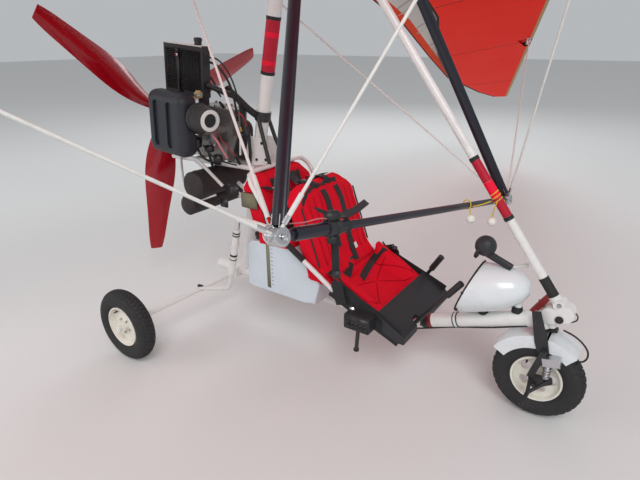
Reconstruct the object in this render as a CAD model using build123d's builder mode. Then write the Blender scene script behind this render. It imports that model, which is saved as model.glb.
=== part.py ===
from build123d import *
import os
from math import cos, radians, sin, tan

os.makedirs("parts", exist_ok=True)

# A two-seat flex-wing microlight standing on its three wheels, its wing tied down nose high
# and port side low. Millimetres. Each group is drawn in its own frame:
# trike: x forward from the rear axle line, y to port, z up from the ground
# fork: z up the raked steering axis, x forward, from the headstock's centre
# engine: x forward along the thrust line, from the propeller's centre
# hang: x forward, from the hang bolt, turned by the wing's yaw and pitch
# wing: x forward along the wing's keel tube, from the roll axis above the hang bolt

MID_X = 451
SIDES = (("port", 1), ("starboard", -1))

# Wheels and gear
TRACK = 1582
WHEELBASE = 1971
TYRE_RADIUS = 205
TYRE_SECTION = 50
RIM_RADIUS = 113
RIM_HALF_WIDTH = 36
RIM_WALL = 8
HUB_RADIUS = 30
HUB_HALF = 45
AXLE_RADIUS = 10
RUNNING_FIT = 0.05
MOVING_GAP = 6

# Trike frame
KEEL_Z = 265
KEEL_DIAMETER = 70
KEEL_REAR = (-60, 0, KEEL_Z)
KEEL_BEND = (WHEELBASE - 685, 0, KEEL_Z)
KEEL_FRONT = (WHEELBASE - 46, 0, 498)
KEEL_BEND_RADIUS = 500
MAST_DIAMETER = 72
MAST_LEAN = 11.5
MAST_FOOT_X = 166
MAST_TOP_Z = 2496
STRUT_DIAMETER = 39
STRUT_FOOT = (WHEELBASE + 35, 0, 585)
STRUT_TOP = (606, 0, 2449)

# Steering
HEAD = (WHEELBASE - 20, 0, 497)
RAKE = 14
STEERER_RADIUS = 15

# Propeller and engine
PROP = (-475, 0, 1217)
THRUST_TILT = 4.8
PROP_RADIUS = 930
BLADE_ANGLE = 8.3

# Wing
HANG = (674, 0, 2556)
WING_YAW = -6.4
WING_PITCH = -11.7
WING_ROLL = -9.6
ROLL_AXIS_UP = 71
NOSE_X = 1505
KEEL_TAIL_X = -1212
HALF_NOSE = 62.3
ANHEDRAL = 7.3
EDGE_LENGTH = 5711
JUNCTION = 0.644
WING_KEEL_DIAMETER = 50
EDGE_DIAMETER = 52
CROSSBAR_DIAMETER = 50
CROSSBAR_X = 100
CROSSBAR_UP = 77
BAR_X = 553
BAR_HALF = 789
BAR_DROP = 1768
BAR_DIAMETER = 29
GRIP_DIAMETER = 42
CORNER_RADIUS = 27
UPRIGHT_CHORD = 54
UPRIGHT_THICK = 27
WIRE_DIAMETER = 10
SAIL_THICK = 4
POCKET_RADIUS = 36

TRIKE = Pos(-MID_X, 0, 0)
FORK = TRIKE * Pos(*HEAD) * Rot(0, -RAKE, 0)
ENGINE = TRIKE * Pos(*PROP) * Rot(0, THRUST_TILT, 0)
HANG_FRAME = TRIKE * Pos(*HANG) * Rot(0, 0, WING_YAW) * Rot(0, WING_PITCH, 0)
WING = HANG_FRAME * Pos(0, 0, ROLL_AXIS_UP) * Rot(WING_ROLL, 0, 0)


def save(piece, label, frame):
    """Set a finished piece in its place, label it and write its STEP."""
    placed = frame * piece.part
    placed.label = label
    export_step(placed, f"parts/{label}.step")


def rod(start, end, diameter):
    """Add a straight round bar from start to end."""
    run = Vector(end) - Vector(start)
    with BuildSketch(Plane(origin=start, z_dir=run)) as end_face:
        Circle(diameter / 2)
    extrude(end_face.sketch, amount=run.length)


def bent_tube(points, diameter, radius):
    """Add a round tube along straight runs joined by arcs."""
    with BuildLine() as path:
        FilletPolyline(*points, radius=radius)
    with BuildSketch(Plane(origin=path.line @ 0, z_dir=path.line % 0)) as end_face:
        Circle(diameter / 2)
    sweep(end_face.sketch, path=path.line)


def block(low, high, mode=Mode.ADD):
    """Add a box between two opposite corners."""
    middle = (Vector(low) + Vector(high)) / 2
    size = Vector(high) - Vector(low)
    with Locations(middle):
        Box(size.X, size.Y, size.Z, mode=mode)


def side_plate(outline, low_y, high_y, mode=Mode.ADD):
    """Add a plate with an outline in x and z, between two values of y."""
    with BuildSketch(Plane.XZ.offset(-low_y)) as face:
        with BuildLine():
            Polyline(*outline, close=True)
        make_face()
    extrude(face.sketch, amount=low_y - high_y, mode=mode)


def cross_bore(centre, radius, reach=60):
    """Bore across the piece in hand along y, through a point of the x-z plane."""
    with BuildSketch(Plane.XZ.offset(-reach)) as bore:
        with Locations(centre):
            Circle(radius)
    extrude(bore.sketch, amount=2 * reach, mode=Mode.SUBTRACT)


def cut(*others):
    """Trim the piece in hand to the pieces that it meets."""
    for other in others:
        add(other.part, mode=Mode.SUBTRACT)


# Trike frame: the keel tube, bent up to the nose, with two saddles for the tank

SADDLE_X = (470, 800)
SADDLE_HALF = 150
TANK_FLOOR = 330
with BuildPart() as keel_tube:
    bent_tube([KEEL_REAR, KEEL_BEND, KEEL_FRONT], KEEL_DIAMETER, KEEL_BEND_RADIUS)
    for x in SADDLE_X:
        block((x - 20, -SADDLE_HALF, KEEL_Z + 20), (x + 20, SADDLE_HALF, TANK_FLOOR))
save(keel_tube, "keel_tube", TRIKE)


def mast_point(z):
    """The mast's axis at a height."""
    return (MAST_FOOT_X + (z - KEEL_Z) * tan(radians(MAST_LEAN)), 0, z)


with BuildPart() as mast:
    rod(mast_point(KEEL_Z + 22), mast_point(MAST_TOP_Z), MAST_DIAMETER)
    cut(keel_tube)
save(mast, "mast", TRIKE)

with BuildPart() as front_strut:
    rod(STRUT_FOOT, STRUT_TOP, STRUT_DIAMETER)
    cut(mast)
save(front_strut, "front_strut", TRIKE)

# Nose: a raked headstock across the front tube's end and a two-lobed casting for the strut's foot

HEAD_WALL = 15
HEAD_DOWN = 34
HEAD_UP = 48
HEAD_CAP = 5
LOBE_HALF = 34
TOW_BORE = (WHEELBASE + 47, 535)
TOW_BORE_RADIUS = 6
lobes = (
    # ahead of the front axle, height, radius
    (8, 540, 38),
    (63, 562, 38),
    (36, 596, 24),
)
steer_up = Vector(-sin(radians(RAKE)), 0, cos(radians(RAKE)))
head_bottom = Vector(HEAD) - steer_up * HEAD_DOWN
head_top = Vector(HEAD) + steer_up * HEAD_UP
strut_way = (Vector(STRUT_TOP) - Vector(STRUT_FOOT)).normalized()
tube_way = (Vector(KEEL_FRONT) - Vector(KEEL_BEND)).normalized()
with BuildPart() as nose_head:
    for ahead, height, radius in lobes:
        with BuildSketch(Plane.XZ.offset(-LOBE_HALF)):
            with Locations((WHEELBASE + ahead, height)):
                Circle(radius)
        extrude(amount=2 * LOBE_HALF)
    rod((WHEELBASE + 16, 0, 476), (WHEELBASE + 16, 0, 520), 44)
    rod(head_bottom, head_top, 2 * (STEERER_RADIUS + HEAD_WALL))
    rod(Vector(KEEL_FRONT) - tube_way * 40, Vector(KEEL_FRONT) + tube_way * 30, KEEL_DIAMETER + 10)
    rod(STRUT_FOOT, Vector(STRUT_FOOT) + strut_way * 50, STRUT_DIAMETER + 12)
    cut(keel_tube, front_strut)
    with BuildSketch(Plane(origin=head_bottom, z_dir=steer_up)):
        Circle(STEERER_RADIUS + RUNNING_FIT)
    extrude(amount=HEAD_DOWN + HEAD_UP - HEAD_CAP, mode=Mode.SUBTRACT)
    cross_bore(TOW_BORE, TOW_BORE_RADIUS)
save(nose_head, "nose_head", TRIKE)

BRACE_SIDE = 26
with BuildPart() as strut_brace:
    foot = Vector(WHEELBASE - 68, 0, 525)
    top = Vector(WHEELBASE - 6, 0, 628)
    with BuildSketch(Plane(origin=foot, x_dir=(0, 1, 0), z_dir=top - foot)):
        Rectangle(BRACE_SIDE, BRACE_SIDE)
    extrude(amount=(top - foot).length)
    cut(keel_tube, nose_head, front_strut)
save(strut_brace, "strut_brace", TRIKE)

# Mast head: a cap with two lugs that carry the pitch pin, turned to the wing's yaw

PIN_RADIUS = 7
LUG_IN = 22
LUG_THICK = 8
LUG_LOW = -52
LUG_HIGH = 16
CAP_THICK = 12
with BuildPart() as hang_lugs:
    for side, sign in SIDES:
        inner = sign * LUG_IN
        outer = sign * (LUG_IN + LUG_THICK)
        block((-75, min(inner, outer), LUG_LOW), (16, max(inner, outer), LUG_HIGH))
    with BuildSketch(Plane.XZ.offset(-LUG_IN - LUG_THICK - 8)):
        Circle(PIN_RADIUS)
    extrude(amount=2 * (LUG_IN + LUG_THICK + 8))
lugs_in_trike = Pos(*HANG) * Rot(0, 0, WING_YAW) * hang_lugs.part
with BuildPart() as mast_head:
    rod(mast_point(MAST_TOP_Z), mast_point(MAST_TOP_Z + CAP_THICK), MAST_DIAMETER + 4)
    add(lugs_in_trike)
    cut(mast)
save(mast_head, "mast_head", TRIKE)

SLEEVE_HALF = 60
SLEEVE_RADIUS = 37
with BuildPart() as hang_block:
    with BuildSketch(Plane.YZ.offset(-SLEEVE_HALF)):
        with Locations((0, ROLL_AXIS_UP)):
            Circle(SLEEVE_RADIUS)
    extrude(amount=2 * SLEEVE_HALF)
    block((-26, -LUG_IN + MOVING_GAP, -18), (26, LUG_IN - MOVING_GAP, ROLL_AXIS_UP))
    with BuildSketch(Plane.YZ.offset(-SLEEVE_HALF)):
        with Locations((0, ROLL_AXIS_UP)):
            Circle(WING_KEEL_DIAMETER / 2 + RUNNING_FIT)
    extrude(amount=2 * SLEEVE_HALF, mode=Mode.SUBTRACT)
    with BuildSketch(Plane.XZ.offset(-LUG_IN)):
        Circle(PIN_RADIUS + RUNNING_FIT)
    extrude(amount=2 * LUG_IN, mode=Mode.SUBTRACT)
save(hang_block, "hang_block", HANG_FRAME)

# Main gear: two slender legs to stub axles

LEG_DIAMETER = 30
LEG_BOSS_END = TRACK / 2 - HUB_HALF - MOVING_GAP
AXLE_END = TRACK / 2 + HUB_HALF + MOVING_GAP
AXLE_NUT = 10
with BuildPart() as gear_legs:
    for side, sign in SIDES:
        boss = (0, sign * LEG_BOSS_END, TYRE_RADIUS)
        nut = (0, sign * AXLE_END, TYRE_RADIUS)
        axle_tip = (0, sign * (AXLE_END + AXLE_NUT), TYRE_RADIUS)
        rod((96, sign * 60, 245), (4, sign * (LEG_BOSS_END - 20), TYRE_RADIUS + 2), LEG_DIAMETER)
        rod((0, sign * (LEG_BOSS_END - 40), TYRE_RADIUS), boss, LEG_DIAMETER + 16)
        rod(boss, axle_tip, 2 * AXLE_RADIUS)
        rod(nut, axle_tip, 32)
    block((60, -62, 225), (130, 62, 290))
    cut(keel_tube)
save(gear_legs, "gear_legs", TRIKE)

# Fuel tank on the saddles, under the passenger

TANK_HALF = 235
TANK_SIDE = [(400, 345), (412, 590), (440, 615), (720, 640), (905, 470), (870, 345), (800, TANK_FLOOR),
             (420, TANK_FLOOR)]
CAP_AT = (470, -180)
CAP_TOP = 640
with BuildPart() as tank:
    side_plate(TANK_SIDE, -TANK_HALF, TANK_HALF)
    fillet(tank.edges().filter_by(Axis.Y), 10)
    fillet(tank.faces().sort_by(Axis.Y)[0].edges() + tank.faces().sort_by(Axis.Y)[-1].edges(), 8)
    cut(keel_tube)
save(tank, "fuel_tank", TRIKE)

with BuildPart() as tank_cap:
    rod((*CAP_AT, CAP_TOP - 24), (*CAP_AT, CAP_TOP), 60)
    cut(tank)
save(tank_cap, "tank_cap", TRIKE)

# Seats: one bent tube makes both side rails and the hoop behind the passenger

SEAT_HALF = 252
RAIL_Y = SEAT_HALF + 11
RAIL_DIAMETER = 25
RAIL_BEND = 75
HOOP_TOP = (455, 1005)
rail_side = (
    # x, z from the front cross tube to the hoop's top
    (1400, 336),
    (1070, 440),
    (660, 705),
    HOOP_TOP,
)
with BuildPart() as seat_frame:
    starboard_rail = [(x, -RAIL_Y, z) for x, z in rail_side]
    port_rail = [(x, RAIL_Y, z) for x, z in reversed(rail_side)]
    bent_tube(starboard_rail + port_rail, RAIL_DIAMETER, RAIL_BEND)
    rod((1392, -RAIL_Y, 338), (1392, RAIL_Y, 338), RAIL_DIAMETER - 3)
    cut(keel_tube, mast)
save(seat_frame, "seat_frame", TRIKE)

DAMPER_DIAMETER = 38
with BuildPart() as dampers:
    for side, sign in SIDES:
        top = Vector(405, sign * 285, 760)
        bottom = Vector(330, sign * 298, 400)
        rod(top, bottom, DAMPER_DIAMETER - 12)
        rod(top + (bottom - top) * 0.2, bottom, DAMPER_DIAMETER)
        rod(top + (bottom - top) * 0.45, top + (bottom - top) * 0.5, DAMPER_DIAMETER + 8)
        bent_tube([bottom, (300, sign * 300, 300), (40, sign * 310, 228)], 24, 40)
        rod(top, (620, sign * RAIL_Y, 735), 22)
    cut(gear_legs, seat_frame)
save(dampers, "dampers", TRIKE)

backs = (
    # label, side outline (x, z), lowest and highest point
    ("pilot_seat_back", [(845, 480), (685, 935), (712, 968), (745, 962), (787, 930), (918, 575), (985, 500),
                         (985, 470)],
     (470, 968)),
    ("passenger_seat_back", [(480, 690), (398, 945), (425, 996), (482, 992), (515, 900), (590, 700)],
     (690, 996)),
)
SHOULDER = 80
for label, outline, (low, high) in backs:
    with BuildPart() as back:
        side_plate(outline, -SEAT_HALF, SEAT_HALF)
        with BuildSketch(Plane.YZ.offset(300)):
            with BuildLine():
                Polyline((-SEAT_HALF, low), (SEAT_HALF, low), (SEAT_HALF, high - SHOULDER),
                         (SEAT_HALF - SHOULDER, high), (SHOULDER - SEAT_HALF, high),
                         (-SEAT_HALF, high - SHOULDER), close=True)
            make_face()
        extrude(amount=800, mode=Mode.INTERSECT)
        cut(tank, seat_frame)
    save(back, label, TRIKE)

pan_stations = (
    # x, underside, middle, raised rims
    (988, 440, 490, 588),
    (1156, 345, 425, 498),
    (1265, 332, 390, 430),
    (1382, 325, 338, 340),
)
with BuildPart() as pilot_pan:
    for x, under, middle, rim in pan_stations:
        with BuildSketch(Plane.YZ.offset(x)):
            with BuildLine():
                Polyline((-SEAT_HALF, under), (SEAT_HALF, under), (SEAT_HALF, rim), (SEAT_HALF - 35, rim),
                         (SEAT_HALF - 90, middle), (90 - SEAT_HALF, middle), (35 - SEAT_HALF, rim),
                         (-SEAT_HALF, rim), close=True)
            make_face()
    loft(ruled=True)
    cut(keel_tube, seat_frame)
save(pilot_pan, "pilot_seat_pan", TRIKE)

FLAP_HALF = RAIL_Y + RAIL_DIAMETER / 2 + 5
FLAP_SKIRT = 4
flap_over = [(1265, 430.3), (1384, 351), (1400, 351), (1408, 345), (1408, 315), (1416, 315), (1416, 350),
             (1402, 362), (1265, 441)]
flap_side = [(1300, 415), (1402, 357), (1412, 348), (1412, 315), (1385, 315), (1300, 345)]
with BuildPart() as seat_flap:
    side_plate(flap_over, -FLAP_HALF, FLAP_HALF)
    for low in (-FLAP_HALF, FLAP_HALF - FLAP_SKIRT):
        side_plate(flap_side, low, low + FLAP_SKIRT)
    block((1380, -128, 300), (1420, -74, 420), mode=Mode.SUBTRACT)
    cut(keel_tube, seat_frame, pilot_pan)
save(seat_flap, "seat_flap", TRIKE)

with BuildPart() as passenger_pan:
    side_plate([(500, 610), (500, 685), (600, 695), (740, 690), (740, 620)], -SEAT_HALF, SEAT_HALF)
    cut(tank, seat_frame)
save(passenger_pan, "passenger_seat_pan", TRIKE)

# Instrument pod: a blunt shell along the front tube, cut off slanting and open at the rear

POD_REAR = (WHEELBASE - 411, 0, 555)
POD_TILT = 14
POD_WALL = 5
pod_stations = (
    # length, half width, half height
    (0, 135, 118),
    (110, 133, 116),
    (215, 112, 98),
    (290, 74, 65),
    (328, 28, 25),
)
pod_ahead = (cos(radians(POD_TILT)), 0, sin(radians(POD_TILT)))
pod_plane = Plane(origin=POD_REAR, x_dir=(0, 1, 0), z_dir=pod_ahead)
with BuildPart() as pod_outer:
    for length, half_width, half_height in pod_stations:
        with BuildSketch(pod_plane.offset(length)):
            Ellipse(half_width, half_height)
    loft()
rear_slant = [(WHEELBASE - 411, 420), (WHEELBASE - 306, 720), (WHEELBASE - 600, 800), (WHEELBASE - 600, 420)]
pod_feet = (WHEELBASE - 282, WHEELBASE - 133)
with BuildPart() as pod:
    for x in pod_feet:
        rise = (KEEL_FRONT[2] - KEEL_Z) / (KEEL_FRONT[0] - KEEL_BEND[0])
        tube_z = KEEL_Z + (x - KEEL_BEND[0]) * rise
        rod((x, 0, tube_z), (x, 0, tube_z + 110), 36)
    cut(keel_tube)
    add(pod_outer.part)
    for length, half_width, half_height in pod_stations:
        with BuildSketch(pod_plane.offset(length - POD_WALL * (length > 0))):
            Ellipse(half_width - POD_WALL, half_height - POD_WALL)
    loft(mode=Mode.SUBTRACT)
    side_plate(rear_slant, -200, 200, mode=Mode.SUBTRACT)
    cut(front_strut)
save(pod, "instrument_pod", TRIKE)

COMPASS = (WHEELBASE - 310, 0, 786)
COMPASS_RADIUS = 48
with BuildPart() as compass:
    with Locations(COMPASS):
        Sphere(COMPASS_RADIUS)
    rod((COMPASS[0] + 5, 0, COMPASS[2] - 32), (COMPASS[0] + 125, 0, COMPASS[2] - 78), 34)
    cut(pod_outer)
save(compass, "compass", TRIKE)

# Foot bar to starboard, grip lever to port, both from the seat's front cross tube

with BuildPart() as foot_bars:
    rod((1395, -101, 345), (1600, -96, 618), 20)
    rod((1540, -98, 538), (1600, -96, 618), 32)
    rod((1248, RAIL_Y, 384), (1248, 304, 373), 20)
    rod((1246, 295, 364), (1358, 289, 548), 20)
    rod((1305, 292, 461), (1358, 289, 548), 34)
    cut(keel_tube, seat_frame)
save(foot_bars, "foot_bars", TRIKE)

with BuildPart() as switch_box:
    block((1120, -340, 345), (1260, -268, 425))
    rod((1190, -315, 380), (1180, -315, 220), 20)
    cut(seat_frame)
    fillet(switch_box.edges().filter_by(Axis.Y), 8)
save(switch_box, "switch_box", TRIKE)

# Engine bearers, gusset plates and the black clamp on the mast

BEARER_Z = 970
BEARER_DIAMETER = 30
with BuildPart() as bearers:
    for side, sign in SIDES:
        rod((-330, sign * 75, BEARER_Z), (330, sign * 46, BEARER_Z), BEARER_DIAMETER)
        rod((-140, sign * 66, BEARER_Z - 8), (265, sign * 30, 745), BEARER_DIAMETER - 5)
    rod((-150, -68, BEARER_Z), (-150, 68, BEARER_Z), BEARER_DIAMETER - 5)
    cut(mast)
save(bearers, "engine_bearers", TRIKE)
bearers_by_engine = ENGINE.inverse() * TRIKE * bearers.part

GUSSET_IN = MAST_DIAMETER / 2 - 2
GUSSET_THICK = 6
gusset_outline = [(290, 1150), (258, 1045), (290, 984), (430, 1002), (445, 1060), (395, 1150)]
with BuildPart() as mast_gusset:
    for low in (-GUSSET_IN - GUSSET_THICK, GUSSET_IN):
        side_plate(gusset_outline, low, low + GUSSET_THICK)
    cut(mast, bearers)
save(mast_gusset, "mast_gusset", TRIKE)

CLAMP_LOW = 1240
CLAMP_HIGH = 1290
with BuildPart() as mast_clamp:
    rod(mast_point(CLAMP_LOW), mast_point(CLAMP_HIGH), MAST_DIAMETER + 16)
    for side, sign in SIDES:
        rod((366, sign * 40, CLAMP_LOW + 25), (HOOP_TOP[0], sign * 60, HOOP_TOP[1]), 22)
    cut(mast, seat_frame)
save(mast_clamp, "mast_clamp", TRIKE)

# Engine, in its own frame: air box, then gearbox, crankcase, two ribbed cylinders and carburettors

BOX_LOW = (268, -340, -130)
BOX_HIGH = (568, -212, 218)
BOX_ROUND = 52
GROOVE_WIDTH = 42
GROOVE_LENGTH = 250
GROOVE_DEPTH = 14
with BuildPart() as air_box:
    block(BOX_LOW, BOX_HIGH)
    fillet(air_box.edges(), BOX_ROUND)
    with BuildSketch(Plane.XZ.offset(-BOX_LOW[1])):
        for x in (355, 460):
            with Locations((x, (BOX_LOW[2] + BOX_HIGH[2]) / 2)):
                SlotOverall(GROOVE_LENGTH, GROOVE_WIDTH, rotation=90)
    extrude(amount=-GROOVE_DEPTH, mode=Mode.SUBTRACT)
save(air_box, "air_box", ENGINE)

GEARBOX_FACE = 50
SHAFT_RADIUS = 16
SHAFT_DEPTH = 55
CASE_LOW = -165
CASE_HIGH = -55
CYLINDERS = (475, 600)
CYLINDER_HALF = 56
BARREL_TOP = 55
HEAD_TOP = 125
RIB_PITCH = 16
RIB_GAP = 7
with BuildPart() as engine_block:
    block((GEARBOX_FACE, -75, -150), (180, 75, 80))
    block((180, -90, CASE_LOW), (650, 90, CASE_HIGH))
    fillet(engine_block.edges().filter_by(Axis.X), 14)
    rod((640, 0, -85), (705, 0, -85), 160)
    for x in CYLINDERS:
        block((x - CYLINDER_HALF, -58, CASE_HIGH - 5), (x + CYLINDER_HALF, 58, BARREL_TOP))
        block((x - CYLINDER_HALF - 4, -64, BARREL_TOP), (x + CYLINDER_HALF + 4, 64, HEAD_TOP))
        for step in range(-3, 4):
            for face in (-64, 64):
                groove_x = x + step * RIB_PITCH
                block((groove_x - RIB_GAP / 2, face - 10, BARREL_TOP + 8),
                      (groove_x + RIB_GAP / 2, face + 10, HEAD_TOP + 1), mode=Mode.SUBTRACT)
        rod((x, -50, 5), (x - 20, BOX_HIGH[1], 20), 52)
        rod((x - 10, -140, 10), (x - 10, -140, -62), 50)
        rod((x, -60, 140), (x, -60, HEAD_TOP - 5), 18)
    for x in (230, 560):
        for side, sign in SIDES:
            block((x - 22, min(sign * 42, sign * 88), CASE_LOW - 42),
                  (x + 22, max(sign * 42, sign * 88), CASE_LOW + 10))
    cut(air_box)
    add(bearers_by_engine, mode=Mode.SUBTRACT)
    with BuildSketch(Plane.YZ.offset(GEARBOX_FACE)):
        Circle(SHAFT_RADIUS + RUNNING_FIT)
    extrude(amount=SHAFT_DEPTH + MOVING_GAP, mode=Mode.SUBTRACT)
save(engine_block, "engine_block", ENGINE)

FILTER_BASE = (BOX_HIGH[0] + 44, -262, 104)
FILTER_END = (725, -290, 108)
with BuildPart() as air_filter:
    filter_way = Vector(FILTER_END) - Vector(FILTER_BASE)
    with BuildSketch(Plane(origin=FILTER_BASE, z_dir=filter_way)):
        Circle(76)
    with BuildSketch(Plane(origin=FILTER_END, z_dir=filter_way)):
        Circle(60)
    loft()
    rod((BOX_HIGH[0] - 10, -260, 104), Vector(FILTER_BASE) + filter_way * 0.1, 90)
    with BuildSketch(Plane(origin=FILTER_END, z_dir=filter_way)):
        Circle(36)
    extrude(amount=-8, mode=Mode.SUBTRACT)
    cut(air_box)
save(air_filter, "air_filter", ENGINE)

RADIATOR_LOW = (200, -130, 175)
RADIATOR_HIGH = (512, -75, 450)
RADIATOR_TANK = 26
with BuildPart() as radiator:
    block(RADIATOR_LOW, RADIATOR_HIGH)
    fillet(radiator.edges().filter_by(Axis.X), 6)
    for face in (RADIATOR_LOW[1], RADIATOR_HIGH[1]):
        block((RADIATOR_LOW[0] + 14, face - 8, RADIATOR_LOW[2] + RADIATOR_TANK),
              (RADIATOR_HIGH[0] - 14, face + 8, RADIATOR_HIGH[2] - RADIATOR_TANK), mode=Mode.SUBTRACT)
    rod((452, -102, RADIATOR_HIGH[2] - 5), (452, -102, RADIATOR_HIGH[2] + 28), 40)
    block((220, -112, CASE_HIGH - 20), (236, -80, RADIATOR_LOW[2] + 5))
    block((450, -112, HEAD_TOP - 25), (482, -58, RADIATOR_LOW[2] + 5))
    cut(engine_block)
save(radiator, "radiator", ENGINE)

with BuildPart() as hoses:
    bent_tube([(RADIATOR_HIGH[0] - 2, -100, 250), (575, -70, 225), (640, 0, 190), (690, 0, 140),
               (690, 0, -20)], 32, 30)
    cut(engine_block, radiator)
save(hoses, "engine_hoses", ENGINE)

CAN_AT = (532, -305)
CAN_DIAMETER = 164
TAIL_CAN_AT = (493, -432)
TAIL_CAN_DIAMETER = 120
with BuildPart() as muffler:
    rod((CAN_AT[0], -250, CAN_AT[1]), (CAN_AT[0], 120, CAN_AT[1]), CAN_DIAMETER)
    rod((TAIL_CAN_AT[0], -262, TAIL_CAN_AT[1]), (TAIL_CAN_AT[0], 150, TAIL_CAN_AT[1]), TAIL_CAN_DIAMETER)
    bent_tube([(538, 96, 0), (538, 215, 0), (538, 215, CAN_AT[1]), (538, 110, CAN_AT[1])], 60, 55)
    for x in CYLINDERS:
        rod((x, 40, 0), (x, 95, 0), 48)
    rod((CYLINDERS[0], 92, 0), (CYLINDERS[1], 92, 0), 52)
    for y in (-58, 58):
        block((520, y - 10, CAN_AT[1] + 60), (545, y + 10, CAN_AT[1] + CAN_DIAMETER / 2 + 22))
    cut(engine_block)
    add(bearers_by_engine, mode=Mode.SUBTRACT)
save(muffler, "muffler", ENGINE)

# Propeller

HUB_HALF_LENGTH = 32
with BuildPart() as prop_hub:
    with BuildSketch(Plane.YZ.offset(-HUB_HALF_LENGTH)):
        Circle(58)
    extrude(amount=2 * HUB_HALF_LENGTH)
    fillet(prop_hub.edges(), 6)
    with BuildSketch(Plane.YZ.offset(HUB_HALF_LENGTH - 2)):
        Circle(SHAFT_RADIUS)
    extrude(amount=GEARBOX_FACE + SHAFT_DEPTH - HUB_HALF_LENGTH + 2)
save(prop_hub, "prop_hub", ENGINE)

blade_stations = (
    # radius, chord, thickness, pitch angle
    (40, 56, 34, 50),
    (150, 126, 28, 42),
    (340, 196, 22, 28),
    (540, 178, 16, 21),
    (740, 134, 11, 17),
    (PROP_RADIUS, 80, 7, 14),
)
with BuildPart() as blade:
    for radius, chord, thick, pitch in blade_stations:
        along = Vector(sin(radians(pitch)), cos(radians(pitch)), 0)
        with BuildSketch(Plane(origin=(0, 0, -radius), x_dir=along, z_dir=(0, 0, -1))):
            with BuildLine():
                ThreePointArc((-chord / 2, 0), (0, thick * 0.75), (chord / 2, 0))
                ThreePointArc((chord / 2, 0), (0, -thick * 0.25), (-chord / 2, 0))
            make_face()
    loft()
with BuildPart() as blades:
    for third in range(3):
        add(Rot(120 * third - BLADE_ANGLE, 0, 0) * blade.part)
    cut(prop_hub)
save(blades, "prop_blades", ENGINE)

# Wheels: tyres, a cast front rim with five windows and dished rear rims


def wheel_tyre():
    """A tyre about the y axis: a round section on a flat bead."""
    with BuildPart() as tyre:
        with BuildSketch(Plane.YZ):
            with Locations((0, TYRE_RADIUS - TYRE_SECTION)):
                Circle(TYRE_SECTION)
            with Locations((0, RIM_RADIUS / 2)):
                Rectangle(4 * TYRE_SECTION, RIM_RADIUS, mode=Mode.SUBTRACT)
        revolve(axis=Axis.Y)
    return tyre


def wheel_rim(web_half, dish, windows):
    """A rim about the y axis: barrel, web leaning out to y positive, bored hub and windows."""
    barrel = RIM_RADIUS - RIM_WALL
    bore = AXLE_RADIUS + RUNNING_FIT
    with BuildPart() as rim:
        with BuildSketch(Plane.YZ):
            with Locations((0, (RIM_RADIUS + barrel) / 2)):
                Rectangle(2 * RIM_HALF_WIDTH, RIM_WALL)
            with BuildLine():
                Polyline((dish - web_half, HUB_RADIUS - 2), (-web_half, barrel + 2),
                         (web_half, barrel + 2), (dish + web_half, HUB_RADIUS - 2), close=True)
            make_face()
            with Locations((0, (HUB_RADIUS + bore) / 2)):
                Rectangle(2 * HUB_HALF, HUB_RADIUS - bore)
        revolve(axis=Axis.Y)
        if windows:
            with BuildSketch(Plane.XZ.offset(-RIM_HALF_WIDTH)):
                with PolarLocations((HUB_RADIUS + barrel) / 2, windows):
                    SlotOverall(48, 34, rotation=90)
            extrude(amount=2 * RIM_HALF_WIDTH, mode=Mode.SUBTRACT)
    return rim


wheels = (
    # label, x, y, half of the web, dish, windows, turn about z
    ("front", WHEELBASE, 0, 7, 0, 5, 0),
    ("rear_port", 0, TRACK / 2, 4, 12, 0, 0),
    ("rear_starboard", 0, -TRACK / 2, 4, 12, 0, 180),
)
for label, x, y, web_half, dish, windows, turn in wheels:
    place = TRIKE * Pos(x, y, TYRE_RADIUS) * Rot(0, 0, turn)
    save(wheel_tyre(), f"{label}_tyre", place)
    save(wheel_rim(web_half, dish, windows), f"{label}_rim", place)

# Mudguard over the front wheel, drawn in the trike's frame: two hooded shells with side skirts

GUARD_RADIUS = TYRE_RADIUS + 27
GUARD_SKIRT = 172
GUARD_HALF = 59
GUARD_WALL = 6
guard_spans = (
    # lower end's angle, upper end's angle
    (50, 84),
    (93, 150),
)


def guard_sector(outer, inner, low, high):
    """A ring sector about the front axle, as a sketch in x and z."""
    with BuildSketch(Plane.XZ.offset(-GUARD_HALF)) as sector:
        with Locations((WHEELBASE, TYRE_RADIUS)):
            Circle(outer)
            Circle(inner, mode=Mode.SUBTRACT)
        reach = 2 * outer
        with BuildLine():
            Polyline((WHEELBASE, TYRE_RADIUS),
                     (WHEELBASE + reach * cos(radians(low)), TYRE_RADIUS + reach * sin(radians(low))),
                     (WHEELBASE + reach * cos(radians(high)), TYRE_RADIUS + reach * sin(radians(high))),
                     close=True)
        make_face(mode=Mode.INTERSECT)
    return sector.sketch


with BuildPart() as mudguard:
    for low, high in guard_spans:
        extrude(guard_sector(GUARD_RADIUS, GUARD_SKIRT, low, high), amount=2 * GUARD_HALF)
    block((WHEELBASE - GUARD_RADIUS, GUARD_WALL - GUARD_HALF, 0),
          (WHEELBASE + GUARD_RADIUS, GUARD_HALF - GUARD_WALL, TYRE_RADIUS + 10), mode=Mode.SUBTRACT)
    with BuildSketch(Plane.XZ.offset(GUARD_WALL - GUARD_HALF)):
        with Locations((WHEELBASE, TYRE_RADIUS)):
            Circle(GUARD_RADIUS - GUARD_WALL)
    extrude(amount=2 * (GUARD_HALF - GUARD_WALL), mode=Mode.SUBTRACT)
save(mudguard, "mudguard", TRIKE)

# Steering fork, in the fork's frame: side plates, crown, square legs, axle plates and foot pegs

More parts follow.
